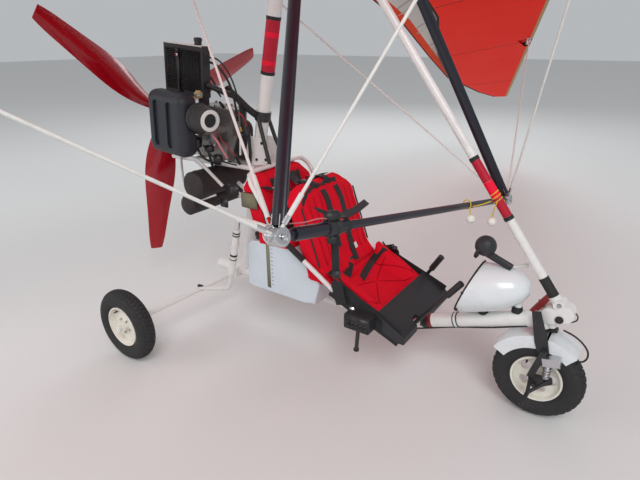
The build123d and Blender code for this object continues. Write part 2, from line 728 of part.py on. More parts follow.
PLATE_THICK = 6
PLATE_OUT = GUARD_HALF + PLATE_THICK
PLATE_Z = (-140, 68)
fork_plate = [(-26, PLATE_Z[1]), (12, PLATE_Z[1]), (26, -80), (26, PLATE_Z[0]), (-22, PLATE_Z[0]), (-30, -80)]
CROWN_Z = (-HEAD_DOWN - MOVING_GAP - 14, -HEAD_DOWN - MOVING_GAP)
LEG_SIDE = 28
LEG_Y = PLATE_OUT + LEG_SIDE / 2
AXLE_AT = (Plane(origin=HEAD, x_dir=(cos(radians(RAKE)), 0, sin(radians(RAKE))),
                 z_dir=(-sin(radians(RAKE)), 0, cos(radians(RAKE))))
           .to_local_coords(Vector(WHEELBASE, 0, TYRE_RADIUS)))
LEG_FOOT = (AXLE_AT.X - 9, AXLE_AT.Z + 44)
with BuildPart() as fork:
    rod((0, 0, CROWN_Z[0]), (0, 0, HEAD_UP - HEAD_CAP - MOVING_GAP), 2 * STEERER_RADIUS)
    block((-26, -PLATE_OUT, CROWN_Z[0]), (26, PLATE_OUT, CROWN_Z[1]))
    block((20, -16, CROWN_Z[0]), (58, 16, CROWN_Z[1]))
    for side, sign in SIDES:
        inner = min(sign * GUARD_HALF, sign * PLATE_OUT)
        side_plate(fork_plate, inner, inner + PLATE_THICK)
        leg_top = Vector(12, sign * LEG_Y, PLATE_Z[0] + 24)
        leg_foot = Vector(LEG_FOOT[0], sign * LEG_Y, LEG_FOOT[1])
        with BuildSketch(Plane(origin=leg_top, x_dir=(0, 1, 0), z_dir=leg_foot - leg_top)) as leg_end:
            Rectangle(LEG_SIDE, LEG_SIDE)
        extrude(leg_end.sketch, amount=(leg_foot - leg_top).length)
        axle_plate = [(AXLE_AT.X - 20, AXLE_AT.Z + 52), (AXLE_AT.X + 80, AXLE_AT.Z + 38),
                      (AXLE_AT.X + 80, AXLE_AT.Z + 8), (AXLE_AT.X + 12, AXLE_AT.Z - 18),
                      (AXLE_AT.X - 20, AXLE_AT.Z - 8)]
        inner = min(sign * (PLATE_OUT + 1), sign * (PLATE_OUT + 11))
        side_plate(axle_plate, inner, inner + 10)
        peg_fork = Vector(AXLE_AT.X - 5, sign * 165, AXLE_AT.Z + 10)
        rod((AXLE_AT.X - 10, sign * (PLATE_OUT + 6), AXLE_AT.Z + 35), peg_fork, 16)
        rod((AXLE_AT.X + 65, sign * (PLATE_OUT + 6), AXLE_AT.Z + 22), peg_fork, 16)
        rod(peg_fork, peg_fork + Vector(-4, sign * 95, -4), 18)
    rod((AXLE_AT.X, -PLATE_OUT - 24, AXLE_AT.Z), (AXLE_AT.X, PLATE_OUT + 24, AXLE_AT.Z), 2 * AXLE_RADIUS)
save(fork, "steering_fork", FORK)

with BuildPart() as fork_springs:
    for side, sign in SIDES:
        upper = Vector(26, sign * LEG_Y, PLATE_Z[0] - 22)
        lower = Vector(AXLE_AT.X + 52, sign * (PLATE_OUT + 6), AXLE_AT.Z + 34)
        rod(upper, lower, 22)
        for coil in range(4):
            middle = upper + (lower - upper) * (0.35 + 0.16 * coil)
            rod(middle, middle + (lower - upper) * 0.08, 34)
        block((2, min(sign * PLATE_OUT, sign * (PLATE_OUT + 34)), upper.Z - 18),
              (74, max(sign * PLATE_OUT, sign * (PLATE_OUT + 34)), upper.Z + 22))
    cut(fork)
save(fork_springs, "fork_springs", FORK)

# Wing frame


def edge_point(share, sign):
    """A point of a leading edge's axis, a share of its length from the nose."""
    out = share * EDGE_LENGTH
    y = out * sin(radians(HALF_NOSE)) * cos(radians(ANHEDRAL))
    z = -out * sin(radians(HALF_NOSE)) * sin(radians(ANHEDRAL))
    return Vector(NOSE_X - out * cos(radians(HALF_NOSE)), sign * y, z)


edges = {}
for side, sign in SIDES:
    with BuildPart() as edge:
        rod(edge_point(0.018, sign), edge_point(1, sign), EDGE_DIAMETER)
    edges[side] = edge
    save(edge, f"leading_edge_{side}", WING)

APEX_X = 120
APEX_HALF = 70
APEX_DOWN = 34
uprights = {}
for side, sign in SIDES:
    top = Vector(APEX_X, sign * APEX_HALF, -APEX_DOWN)
    foot = Vector(BAR_X, sign * BAR_HALF, -BAR_DROP)
    run = foot - top
    chord_way = Vector(1, 0, 0) - run.normalized() * run.normalized().X
    with BuildPart() as upright:
        with BuildSketch(Plane(origin=top, x_dir=chord_way, z_dir=run)):
            Ellipse(UPRIGHT_CHORD / 2, UPRIGHT_THICK / 2)
        extrude(amount=run.length - 30)
    uprights[side] = upright
    save(upright, f"upright_{side}", WING)

WING_TAIL_BORE = (KEEL_TAIL_X + 40, 0)
WING_TAIL_BORE_RADIUS = 5
NOSE_THICK = 24
with BuildPart() as wing_keel:
    rod((KEEL_TAIL_X, 0, 0), (NOSE_X - 22, 0, 0), WING_KEEL_DIAMETER)
    for sign in (1, -1):
        collar = sign * (SLEEVE_HALF + MOVING_GAP)
        rod((collar, 0, 0), (collar + sign * 10, 0, 0), WING_KEEL_DIAMETER + 16)
    with BuildSketch(Plane.XY.offset(-NOSE_THICK / 2)):
        with BuildLine():
            Polyline((NOSE_X - 16, -20), (NOSE_X - 16, 20), (NOSE_X - 90, 120), (NOSE_X - 190, 0),
                     (NOSE_X - 90, -120), close=True)
        make_face()
    extrude(amount=NOSE_THICK)
    block((CROSSBAR_X - 15, -14, 0), (CROSSBAR_X + 25, 14, CROSSBAR_UP + 12))
    cut(edges["port"], edges["starboard"])
    cross_bore(WING_TAIL_BORE, WING_TAIL_BORE_RADIUS)
save(wing_keel, "wing_keel", WING)

with BuildPart() as apex_bracket:
    block((APEX_X - 30, -APEX_HALF - 22, -APEX_DOWN - 26), (APEX_X + 30, APEX_HALF + 22, -18))
    cut(wing_keel, uprights["port"], uprights["starboard"])
save(apex_bracket, "apex_bracket", WING)

crossbars = {}
for side, sign in SIDES:
    with BuildPart() as crossbar:
        rod((CROSSBAR_X, sign * 12, CROSSBAR_UP), edge_point(JUNCTION, sign), CROSSBAR_DIAMETER)
        cut(wing_keel, edges[side])
    crossbars[side] = crossbar
    save(crossbar, f"crossbar_{side}", WING)

with BuildPart() as base_bar:
    rod((BAR_X, -BAR_HALF, -BAR_DROP), (BAR_X, BAR_HALF, -BAR_DROP), BAR_DIAMETER)
    rod((BAR_X, 60 - BAR_HALF, -BAR_DROP), (BAR_X, 300 - BAR_HALF, -BAR_DROP), GRIP_DIAMETER)
    for side, sign in SIDES:
        with BuildSketch(Plane(origin=(BAR_X - 22, sign * BAR_HALF, -BAR_DROP), z_dir=(1, 0, 0))) as corner:
            Circle(CORNER_RADIUS)
        extrude(corner.sketch, amount=44)
    cut(uprights["port"], uprights["starboard"])
save(base_bar, "base_bar", WING)

KINGPOST_X = 190
KINGPOST_HEIGHT = 1050
KINGPOST_DIAMETER = 38
with BuildPart() as kingpost:
    rod((KINGPOST_X, 0, 0), (KINGPOST_X, 0, KINGPOST_HEIGHT), KINGPOST_DIAMETER)
    cut(wing_keel)
save(kingpost, "kingpost", WING)

wires = (
    # label, top end to port, root beside the corner's middle to port
    ("front", Vector(NOSE_X - 100, 8, -12), Vector(14, 4, 16)),
    ("rear", Vector(KEEL_TAIL_X + 90, 12, -8), Vector(-14, 4, 12)),
    ("side", edge_point(JUNCTION, 1) + Vector(0, 0, -10), Vector(0, 20, 10)),
)
for side, sign in SIDES:
    for label, end, root in wires:
        with BuildPart() as wire:
            rod((BAR_X + root.X, sign * (BAR_HALF + root.Y), root.Z - BAR_DROP),
                (end.X, sign * end.Y, end.Z), WIRE_DIAMETER)
            cut(base_bar, uprights[side], wing_keel, edges[side], crossbars[side])
        save(wire, f"wire_{label}_{side}", WING)

# Sail: an upper skin round each leading edge, an under skin to its hem, and a strip over the keel

STRIP_HALF = 45
ROOT_TRAIL = -980
ROOT_CAMBER = 190
sail_stations = (
    # y, trailing edge x, hem x, camber
    (STRIP_HALF, ROOT_TRAIL, -180, ROOT_CAMBER),
    (1300, -850, -380, 150),
    (2300, -985, -650, 115),
    (3120, -1215, -1100, 85),
    (3940, -1425, -1405, 60),
    (4700, -1405, -1385, 35),
    (5010, -1330, -1310, 22),
)
skin_in = POCKET_RADIUS - SAIL_THICK


def lead_point(y):
    """The leading edge's x and z at a distance from the keel."""
    return (NOSE_X - y / tan(radians(HALF_NOSE)) / cos(radians(ANHEDRAL)), -y * tan(radians(ANHEDRAL)))


def sail_section(y, trailing, hem, camber, sign):
    """The sail's thin section in an upright plane at y, as a sketch."""
    lead_x, lead_z = lead_point(y)
    chord = lead_x - trailing
    under = lead_x - hem
    crest = camber + POCKET_RADIUS / 2
    hem_z = -POCKET_RADIUS * (1 - under / chord) * 0.6 - 10
    section_plane = Plane(origin=(lead_x, sign * y, lead_z), x_dir=(-1, 0, 0), z_dir=(0, 1, 0))
    with BuildSketch(section_plane) as section:
        with BuildLine():
            ThreePointArc((chord, 0), (0.4 * chord, crest), (0, POCKET_RADIUS))
            ThreePointArc((0, POCKET_RADIUS), (-POCKET_RADIUS, 0), (0, -POCKET_RADIUS))
            Line((0, -POCKET_RADIUS), (under, hem_z - SAIL_THICK))
            Line((under, hem_z - SAIL_THICK), (under, hem_z))
            Line((under, hem_z), (0, -skin_in))
            ThreePointArc((0, -skin_in), (-skin_in, 0), (0, skin_in))
            ThreePointArc((0, skin_in), (0.4 * chord, crest - SAIL_THICK), (chord, -SAIL_THICK))
            Line((chord, -SAIL_THICK), (chord, 0))
        make_face()
    return section.sketch


WIRE_OPENING = 130
junction = edge_point(JUNCTION, 1)
for side, sign in SIDES:
    with BuildPart() as sail:
        loft([sail_section(*station, sign) for station in sail_stations], ruled=True)
        near = sign * 30
        far = sign * 200
        block((-260, min(near, far), -90), (320, max(near, far), 10), mode=Mode.SUBTRACT)
        near = sign * (junction.Y - WIRE_OPENING)
        far = sign * (junction.Y + WIRE_OPENING)
        block((junction.X - 90, min(near, far), junction.Z - 90),
              (junction.X + 90, max(near, far), junction.Z - 24), mode=Mode.SUBTRACT)
    save(sail, f"sail_{side}", WING)

with BuildPart() as keel_strip:
    lead_x, lead_z = lead_point(STRIP_HALF)
    chord = lead_x - ROOT_TRAIL
    crest = ROOT_CAMBER + POCKET_RADIUS / 2
    with BuildSketch(Plane(origin=(lead_x, -STRIP_HALF, lead_z), x_dir=(-1, 0, 0), z_dir=(0, 1, 0))):
        with BuildLine():
            ThreePointArc((chord, 0), (0.4 * chord, crest), (0, POCKET_RADIUS))
            Line((0, POCKET_RADIUS), (0, skin_in))
            ThreePointArc((0, skin_in), (0.4 * chord, crest - SAIL_THICK), (chord, -SAIL_THICK))
            Line((chord, -SAIL_THICK), (chord, 0))
        make_face()
    extrude(amount=2 * STRIP_HALF)
    with BuildSketch(Plane.XY.offset(100)):
        with Locations((KINGPOST_X, 0)):
            Circle(KINGPOST_DIAMETER / 2 + 5)
    extrude(amount=300, mode=Mode.SUBTRACT)
    cut(wing_keel)
save(keel_strip, "sail_centre", WING)
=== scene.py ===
from math import cos, degrees, exp, hypot, pi, radians, sin, sqrt, tan

import bmesh
import bpy
from mathutils import Matrix, Vector
from mathutils.bvhtree import BVHTree


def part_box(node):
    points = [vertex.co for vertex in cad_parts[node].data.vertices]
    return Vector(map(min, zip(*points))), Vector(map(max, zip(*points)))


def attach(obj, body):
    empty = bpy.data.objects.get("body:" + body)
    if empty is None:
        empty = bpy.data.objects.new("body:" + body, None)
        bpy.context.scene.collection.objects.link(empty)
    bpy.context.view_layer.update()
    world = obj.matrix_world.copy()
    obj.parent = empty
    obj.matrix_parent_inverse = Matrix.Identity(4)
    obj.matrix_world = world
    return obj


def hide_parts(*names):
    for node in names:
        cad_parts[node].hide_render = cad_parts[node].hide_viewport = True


# Looks of a two-seat flex-wing microlight. Lengths are in millimetres in each group's own
# frame, as in the part's source, and the helpers turn them into metres in the row frame.

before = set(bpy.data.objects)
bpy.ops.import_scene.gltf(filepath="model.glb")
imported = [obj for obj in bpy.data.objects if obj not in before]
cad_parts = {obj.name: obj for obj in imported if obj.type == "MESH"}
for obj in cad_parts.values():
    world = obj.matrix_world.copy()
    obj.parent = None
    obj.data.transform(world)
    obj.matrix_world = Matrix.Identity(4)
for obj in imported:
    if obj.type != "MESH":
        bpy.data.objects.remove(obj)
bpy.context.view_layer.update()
link = bpy.context.collection.objects.link

SIDES = (("port", 1), ("starboard", -1))

# Trike
MID_X = 451
WHEELBASE = 1971
TRACK = 1582
TYRE_RADIUS = 205
TYRE_SECTION = 50
MAST_FOOT = (166, 0, 265)
MAST_TOP = (619.9, 0, 2496)
MAST_LEAN = 11.5
STRUT_FOOT = (2006, 0, 585)
STRUT_TOP = (606, 0, 2449)
STRUT_LENGTH = 2331
KEEL_BEND = Vector((1286, 0, 265))
KEEL_FRONT = Vector((1925, 0, 498))
PROP = (-475, 0, 1217)
THRUST_TILT = 4.8
PAN_HALF = 248
RAIL_Y = 263

# Wing, with its angles at rest
HANG = (674, 0, 2556)
WING_YAW = -6.4
WING_PITCH = -11.7
WING_ROLL = -9.6
ROLL_AXIS_UP = 71
BAR = (553, 789, -1768)
KINGPOST_X = 190
NOSE_X = 1505
EDGE_LENGTH = 5711
CROSSBAR_SHARE = 0.644
NOSE_HALF = radians(62.3)
FALL = radians(7.3)
LEAD_SLOPE = 1 / tan(NOSE_HALF) / cos(FALL)
SECTIONS = (
    # y, trailing edge, front of the hem, camber
    (45, -980, -180, 190),
    (1300, -850, -380, 150),
    (2300, -985, -650, 115),
    (3120, -1215, -1100, 85),
    (3940, -1425, -1405, 60),
    (4700, -1405, -1385, 35),
    (5010, -1330, -1310, 22),
)

# Camera, in the trike's frame, and its turn in degrees
CAMERA_PLACE = (2221.4, -2147.1, 1670.1)
CAMERA_TURN = (124.47, 22.2, 0.27)
CAMERA_LENS = 28.07


def shift(x, y, z):
    return Matrix.Translation((x / 1000, y / 1000, z / 1000))


def turn(angle, axis):
    return Matrix.Rotation(radians(angle), 4, axis)


TRIKE = shift(-MID_X, 0, 0)
ENGINE = TRIKE @ shift(*PROP) @ turn(THRUST_TILT, "Y")
WING = (TRIKE @ shift(*HANG) @ turn(WING_YAW, "Z") @ turn(WING_PITCH, "Y")
        @ shift(0, 0, ROLL_AXIS_UP) @ turn(WING_ROLL, "X"))


# Materials

materials = {}


def feed(socket, value):
    if isinstance(value, bpy.types.NodeSocket):
        socket.id_data.links.new(value, socket)
    else:
        socket.default_value = value


def node(tree, kind, settings=None, **inputs):
    """Add a shader node; inputs are named by socket, with _ for a space."""
    new = tree.nodes.new("ShaderNode" + kind)
    for key, value in (settings or {}).items():
        setattr(new, key, value)
    for key, value in inputs.items():
        feed(new.inputs[key.replace("_", " ")], value)
    return new


def shade(colour, factor):
    return (*(min(1, c * factor) for c in colour), 1)


def maths(operation, *values):
    new = node(values[0].id_data, "Math", {"operation": operation})
    for socket, value in zip(new.inputs, values):
        feed(socket, value)
    return new.outputs[0]


def blend(factor, low, high):
    mix = node(factor.id_data, "Mix", {"data_type": "RGBA"})
    for number, value in ((0, factor), (6, low), (7, high)):
        feed(mix.inputs[number], value)
    return mix.outputs[2]


def surface(name, colour, rough, metallic=0, coat=0, sheen=0, spread=0.1, grain=9, bump=0.05,
            fine=350, weave=0, dirt=0, dirt_colour=(0.1, 0.09, 0.08), specular=0.5):
    """A material with mottled colour, uneven gloss, fine relief, and if asked a weave or dirt."""
    material = materials[name] = bpy.data.materials.new(name)
    material.use_nodes = True
    tree = material.node_tree
    shader = tree.nodes["Principled BSDF"]
    place = node(tree, "TexCoord").outputs["Object"]
    broad = node(tree, "TexNoise", Vector=place, Scale=grain, Detail=4).outputs["Fac"]
    tone = blend(broad, shade(colour, 1 - spread), shade(colour, 1 + spread))
    if dirt:
        spots = node(tree, "TexNoise", Vector=place, Scale=grain * 2.3, Detail=8, Roughness=0.7)
        mask = node(tree, "MapRange", Value=spots.outputs["Fac"], From_Min=0.5, From_Max=0.72,
                    To_Min=0, To_Max=dirt).outputs[0]
        tone = blend(mask, tone, (*dirt_colour, 1))
    tree.links.new(tone, shader.inputs["Base Color"])
    gloss = node(tree, "MapRange", Value=broad, To_Min=max(0.04, rough - 0.08), To_Max=min(1, rough + 0.1))
    tree.links.new(gloss.outputs[0], shader.inputs["Roughness"])
    relief = node(tree, "TexNoise", Vector=place, Scale=fine, Detail=3).outputs["Fac"]
    if weave:
        for axis in ("X", "Y", "Z"):
            band = node(tree, "TexWave", {"bands_direction": axis}, Vector=place, Scale=weave,
                        Distortion=0.6)
            relief = maths("ADD", relief, band.outputs["Fac"])
    lift = node(tree, "Bump", Height=relief, Strength=bump, Distance=0.001)
    tree.links.new(lift.outputs[0], shader.inputs["Normal"])
    for socket, value in (("Metallic", metallic), ("Coat Weight", coat), ("Coat Roughness", 0.1),
                          ("Sheen Weight", sheen), ("Specular IOR Level", specular)):
        shader.inputs[socket].default_value = value
    return tree, shader


def curve_of(value, points, low, high):
    """A value that follows points (at 0 to 1, result) joined by straight lines."""
    shape = node(value.id_data, "FloatCurve", Value=value)
    line = shape.mapping.curves[0]
    first, *inner, last = ((at, (result - low) / (high - low)) for at, result in points)
    line.points[0].location, line.points[1].location = first, last
    for place in inner:
        line.points.new(*place)
    for point in line.points:
        point.handle_type = "VECTOR"
    shape.mapping.update()
    return maths("MULTIPLY_ADD", shape.outputs[0], high - low, low)


def sailcloth():
    """Red under skin with a black hem, white upper skin with a red trailing band, tan leading edge."""
    tree, shader = surface("sailcloth", (0.8, 0.8, 0.8), 0.55, spread=0.04, grain=3, bump=0.03, fine=60,
                           specular=0.12)
    place, spin, _ = WING.decompose()
    row_place = node(tree, "TexCoord").outputs["Object"]
    local = node(tree, "Mapping", {"vector_type": "TEXTURE"}, Vector=row_place, Location=place,
                 Rotation=spin.to_euler())
    split = node(tree, "SeparateXYZ", Vector=local.outputs[0])
    x, z = split.outputs[0], split.outputs[2]
    out = maths("ABSOLUTE", split.outputs[1])
    half_span = SECTIONS[-1][0] / 1000
    share = maths("DIVIDE", out, half_span)
    trail, hem = (curve_of(share, [(row[0] / 1000 / half_span, row[column] / 1000) for row in SECTIONS],
                           -1.5, 0) for column in (1, 2))
    lead = maths("MULTIPLY_ADD", out, -LEAD_SLOPE, NOSE_X / 1000)
    rise = maths("MULTIPLY_ADD", out, tan(FALL), z)
    under = maths("LESS_THAN", rise, -0.007)
    mottle = node(tree, "TexNoise", Vector=local.outputs[0], Scale=2.5, Detail=5).outputs["Fac"]
    white = blend(mottle, (0.62, 0.6, 0.56, 1), (0.78, 0.76, 0.72, 1))
    batten = maths("LESS_THAN", maths("PINGPONG", maths("ADD", out, 0.2), 0.225), 0.012)
    white = blend(batten, white, (0.45, 0.43, 0.4, 1))
    behind = maths("SUBTRACT", x, trail)
    band = maths("LESS_THAN", behind, 0.072)
    white = blend(band, white, (0.85, 0.07, 0.02, 1))
    edge = maths("LESS_THAN", behind, 0.012)
    white = blend(edge, white, (0.12, 0.02, 0.02, 1))
    red = blend(mottle, (0.9, 0.014, 0.004, 1), (1, 0.024, 0.008, 1))
    seam = maths("LESS_THAN", maths("PINGPONG", maths("ADD", out, 0.07), 0.55), 0.006)
    red = blend(seam, red, (0.45, 0.015, 0.01, 1))
    hem_line = maths("LESS_THAN", maths("SUBTRACT", x, hem), 0.025)
    red = blend(hem_line, red, (0.02, 0.02, 0.02, 1))
    cloth = blend(under, white, red)
    reach = maths("MULTIPLY_ADD", under, 0.055, -0.06)
    front = maths("GREATER_THAN", maths("SUBTRACT", x, lead), reach)
    cloth = blend(front, cloth, (0.45, 0.33, 0.15, 1))
    tree.links.new(cloth, shader.inputs["Base Color"])


surface("white_paint", (0.78, 0.78, 0.76), 0.32, coat=0.3, spread=0.05, dirt=0.12)
surface("white_shell", (0.76, 0.8, 0.82), 0.25, coat=0.5, spread=0.03, grain=4, dirt=0.1)
surface("cream_rim", (0.8, 0.78, 0.7), 0.4, spread=0.06, dirt=0.3, dirt_colour=(0.3, 0.25, 0.18))
surface("tank", (0.66, 0.74, 0.8), 0.38, spread=0.05, grain=5, specular=0.4, dirt=0.06)
surface("red_blade", (0.42, 0.002, 0.012), 0.2, coat=0.6, spread=0.08, bump=0.01, fine=40, specular=0.3)
surface("red_tape", (0.46, 0.008, 0.03), 0.4, spread=0.12, bump=0.1, specular=0.3)
surface("dark_red", (0.2, 0.01, 0.01), 0.5, spread=0.15)
surface("navy", (0.018, 0.02, 0.032), 0.3, metallic=0.35, spread=0.15, coat=0.2)
surface("black_metal", (0.02, 0.02, 0.022), 0.42, spread=0.2, dirt=0.15)
surface("black_plastic", (0.022, 0.023, 0.026), 0.5, spread=0.15, bump=0.12)
surface("air_box", (0.022, 0.027, 0.036), 0.5, spread=0.15, bump=0.1, fine=700, dirt=0.12,
        dirt_colour=(0.08, 0.08, 0.085))
surface("tyre", (0.02, 0.02, 0.021), 0.75, spread=0.25, grain=25, bump=0.2, fine=500, dirt=0.3,
        dirt_colour=(0.07, 0.066, 0.06))
surface("rubber", (0.015, 0.015, 0.015), 0.65, spread=0.2, bump=0.1)
surface("webbing", (0.014, 0.014, 0.016), 0.8, sheen=0.08, spread=0.15, weave=260, bump=0.35)
surface("red_fabric", (0.72, 0.005, 0.022), 0.8, grain=14, weave=240, bump=0.3, specular=0.15)
surface("olive", (0.21, 0.2, 0.12), 0.75, spread=0.12, weave=240, bump=0.3)
surface("alloy", (0.62, 0.63, 0.65), 0.3, metallic=1, spread=0.08, bump=0.06, dirt=0.15)
surface("cast", (0.3, 0.29, 0.28), 0.5, metallic=0.7, spread=0.2, grain=22, bump=0.3, fine=160, dirt=0.5)
surface("steel", (0.5, 0.5, 0.52), 0.25, metallic=1)
surface("bright", (0.75, 0.75, 0.77), 0.15, metallic=1, spread=0.05)
surface("rust_can", (0.035, 0.03, 0.03), 0.6, metallic=0.3, spread=0.3, dirt=0.5, dirt_colour=(0.09,
        0.045, 0.03))
surface("sleeve", (0.74, 0.74, 0.71), 0.4, spread=0.06, dirt=0.15)
surface("thin_wire", (0.6, 0.6, 0.58), 0.35, metallic=0.5)
surface("yellow_cord", (0.7, 0.5, 0.03), 0.8, spread=0.2, bump=0.4)
surface("ball", (0.8, 0.78, 0.72), 0.3, coat=0.4, spread=0.03)
surface("brass", (0.5, 0.36, 0.14), 0.3, metallic=1, spread=0.15)
surface("amber", (0.42, 0.33, 0.17), 0.35, spread=0.15)
surface("gauge", (0.2, 0.21, 0.13), 0.4)
surface("bright_tape", (0.85, 0.006, 0.04), 0.5, spread=0.08, bump=0.1, specular=0.2)
surface("pink", (0.6, 0.2, 0.22), 0.7, spread=0.2)
surface("tag", (0.75, 0.75, 0.73), 0.6, spread=0.04)
surface("batten", (0.5, 0.48, 0.45), 0.6, spread=0.05)
surface("fin_metal", (0.035, 0.035, 0.038), 0.5, metallic=0.3, spread=0.2, dirt=0.2)
surface("seam", (0.3, 0.003, 0.01), 0.8, specular=0.1)
surface("patch", (0.6, 0.01, 0.004), 0.7, spread=0.08, weave=60, specular=0.1)
surface("signal_red", (0.5, 0.03, 0.02), 0.4)
surface("filter_mesh", (0.05, 0.05, 0.05), 0.6, metallic=0.3, weave=120, bump=0.8, spread=0.25)
surface("floor", (0.72, 0.72, 0.71), 0.85, spread=0.02, grain=0.6, bump=0.02, fine=30)
sailcloth()
node_looks = (
    # material, nodes; a star stands for port and starboard
    ("white_paint", "mast front_strut nose_head gear_legs seat_frame engine_bearers mast_gusset mast_head "
                    "keel_tube"),
    ("white_shell", "instrument_pod mudguard"),
    ("cream_rim", "front_rim rear_*_rim"),
    ("tank", "fuel_tank"),
    ("red_blade", "prop_blades"),
    ("dark_red", "strut_brace"),
    ("navy", "upright_* base_bar"),
    ("black_metal", "steering_fork mast_clamp foot_bars prop_hub radiator"),
    ("black_plastic", "tank_cap switch_box compass seat_flap engine_hoses"),
    ("air_box", "air_box"),
    ("filter_mesh", "air_filter"),
    ("cast", "engine_block"),
    ("rust_can", "muffler"),
    ("alloy", "leading_edge_* crossbar_* wing_keel kingpost hang_block fork_springs apex_bracket"),
    ("sleeve", "wire_front_* wire_rear_* wire_side_* dampers"),
    ("sailcloth", "sail_* sail_centre"),
    ("tyre", "front_tyre rear_*_tyre"),
    ("red_fabric", "pilot_seat_back pilot_seat_pan passenger_seat_back passenger_seat_pan"),
)
for look, names in node_looks:
    for name in {name.replace("*", side) for name in names.split() for side, _ in SIDES}:
        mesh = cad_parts[name].data
        mesh.materials.clear()
        mesh.materials.append(materials[look])


# Pieces

def add_piece(name, data, look, body):
    """Put a mesh or curve in the scene as a piece that rides on the body."""
    piece = bpy.data.objects.new(name, data)
    link(piece)
    data.materials.append(materials[look])
    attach(piece, body)
    return piece


def add_mesh(name, shape, look, body, smooth=True, sharp=None):
    """Add the shape, flat or smooth; where sharp is an angle, the edges past it stay sharp."""
    mesh = bpy.data.meshes.new(name)
    shape.to_mesh(mesh)
    shape.free()
    if smooth:
        mesh.shade_smooth()
    if sharp:
        mesh.set_sharp_from_angle(angle=radians(sharp))
    return add_piece(name, mesh, look, body)


def join_rings(shape, rings, ring_only=False):
    """Faces between rings of vertices, with caps, or if ring_only from the last to the first."""
    sides = len(rings[0])
    for one, two in zip(rings, rings[1:] + rings[:1] * ring_only):
        for step in range(sides):
            after = (step + 1) % sides
            shape.faces.new((one[step], one[after], two[after], two[step]))
    if not ring_only:
        shape.faces.new(reversed(rings[0]))
        shape.faces.new(rings[-1])
    bmesh.ops.recalc_face_normals(shape, faces=shape.faces)


def tube(name, points, diameter, look, body="trike", place=TRIKE, soft=True):
    """A round tube along points, smooth or with straight runs."""
    data = bpy.data.curves.new(name, "CURVE")
    data.dimensions = "3D"
    data.bevel_depth = diameter / 2000
    data.bevel_resolution = 3
    data.use_fill_caps = True
    soft = soft and len(points) > 2
    spline = data.splines.new("NURBS" if soft else "POLY")
    spline.points.add(len(points) - 1)
    for target, point in zip(spline.points, points):
        target.co = (*(place @ (Vector(point) / 1000)), 1)
    if soft:
        spline.order_u = 3
        spline.use_endpoint_u = True
        spline.resolution_u = 6
    add_piece(name, data, look, body)


def turned(name, start, end, profile, look, body="trike", place=TRIKE, sides=32, ring_only=False):
    """A turned piece about the line from start to end; profile is (distance from start, radius)."""
    start, end = Vector(start), Vector(end)
    way = (end - start).normalized()
    across = way.orthogonal().normalized()
    other = way.cross(across)
    shape = bmesh.new()
    rings = []
    for distance, radius in profile:
        centre = start + way * distance
        ring = []
        for step in range(sides):
            angle = 2 * pi * step / sides
            point = centre + (across * cos(angle) + other * sin(angle)) * max(radius, 0.01)
            ring.append(shape.verts.new(place @ (point / 1000)))
        rings.append(ring)
    join_rings(shape, rings, ring_only)
    add_mesh(name, shape, look, body, sharp=40)


def on_engine(name, start, end, profile, look, sides=32):
    """A turned piece on the trike, with its line in the engine's frame."""
    start, end = (ENGINE @ (Vector(point) / 1000) * 1000 for point in (start, end))
    turned(name, start, end, profile, look, "trike", Matrix.Identity(4), sides)


def boxes(name, corners, look, body="trike", place=TRIKE, rounding=2.0):
    """One piece of several rounded boxes, each given by two opposite corners in one row."""
    shape = bmesh.new()
    for row in corners:
        low, high = Vector(row[:3]), Vector(row[3:])
        for vert in bmesh.ops.create_cube(shape, size=1)["verts"]:
            vert.co = vert.co * (high - low) + (low + high) / 2
    bmesh.ops.recalc_face_normals(shape, faces=shape.faces)
    bmesh.ops.bevel(shape, geom=list(shape.edges), offset=rounding, segments=2, affect="EDGES",
                    clamp_overlap=True)
    for vert in shape.verts:
        vert.co = place @ (vert.co / 1000)
    add_mesh(name, shape, look, body)


def strap(name, points, width, look="webbing", body="trike", place=TRIKE, across=(0, 1, 0), thick=2.5):
    """A flat strap along points, its width across the given way, rounded at its turns."""
    path = [Vector(p) for p in points]
    dense = [path[0]]
    for before, here, after in zip(path, path[1:], path[2:]):
        near, far = here.lerp(before, 0.25), here.lerp(after, 0.25)
        dense += [near, (here * 2 + near + far) / 4, far]
    dense.append(path[-1])
    wide = Vector(across).normalized() * width / 2
    shape = bmesh.new()
    rings = []
    for index, point in enumerate(dense):
        way = dense[min(index + 1, len(dense) - 1)] - dense[max(index - 1, 0)]
        up = way.cross(wide).normalized() * thick / 2
        ring = (point + wide + up, point - wide + up, point - wide - up, point + wide - up)
        rings.append([shape.verts.new(place @ (corner / 1000)) for corner in ring])
    join_rings(shape, rings)
    add_mesh(name, shape, look, body, smooth=False)


def sleeve(name, foot, top, low, high, radius, look, body="trike", place=TRIKE):
    """A thin sleeve round a straight tube, between two lengths from its foot."""
    way = (Vector(top) - Vector(foot)).normalized()
    length = high - low
    turned(name, Vector(foot) + way * low, Vector(foot) + way * high,
           [(0, radius - 1.5), (1, radius), (length - 1, radius), (length, radius - 1.5)], look, body, place)


# Mast and strut bands

mast_slope = 1 / cos(radians(MAST_LEAN))
mast_bands = (
    # low, high, radius, material
    (1500, 1750, 37.2, "red_tape"),
    (1484, 1500, 38.5, "rubber"),
    (1750, 1766, 38.5, "rubber"),
    (1532, 1556, 37.6, "bright_tape"),
    (1668, 1694, 37.6, "bright_tape"),
)
for index, (low, high, radius, look) in enumerate(mast_bands):
    low, high = ((z - MAST_FOOT[2]) * mast_slope for z in (low, high))
    sleeve(f"mast_band_{index}", MAST_FOOT, MAST_TOP, low, high, radius, look)

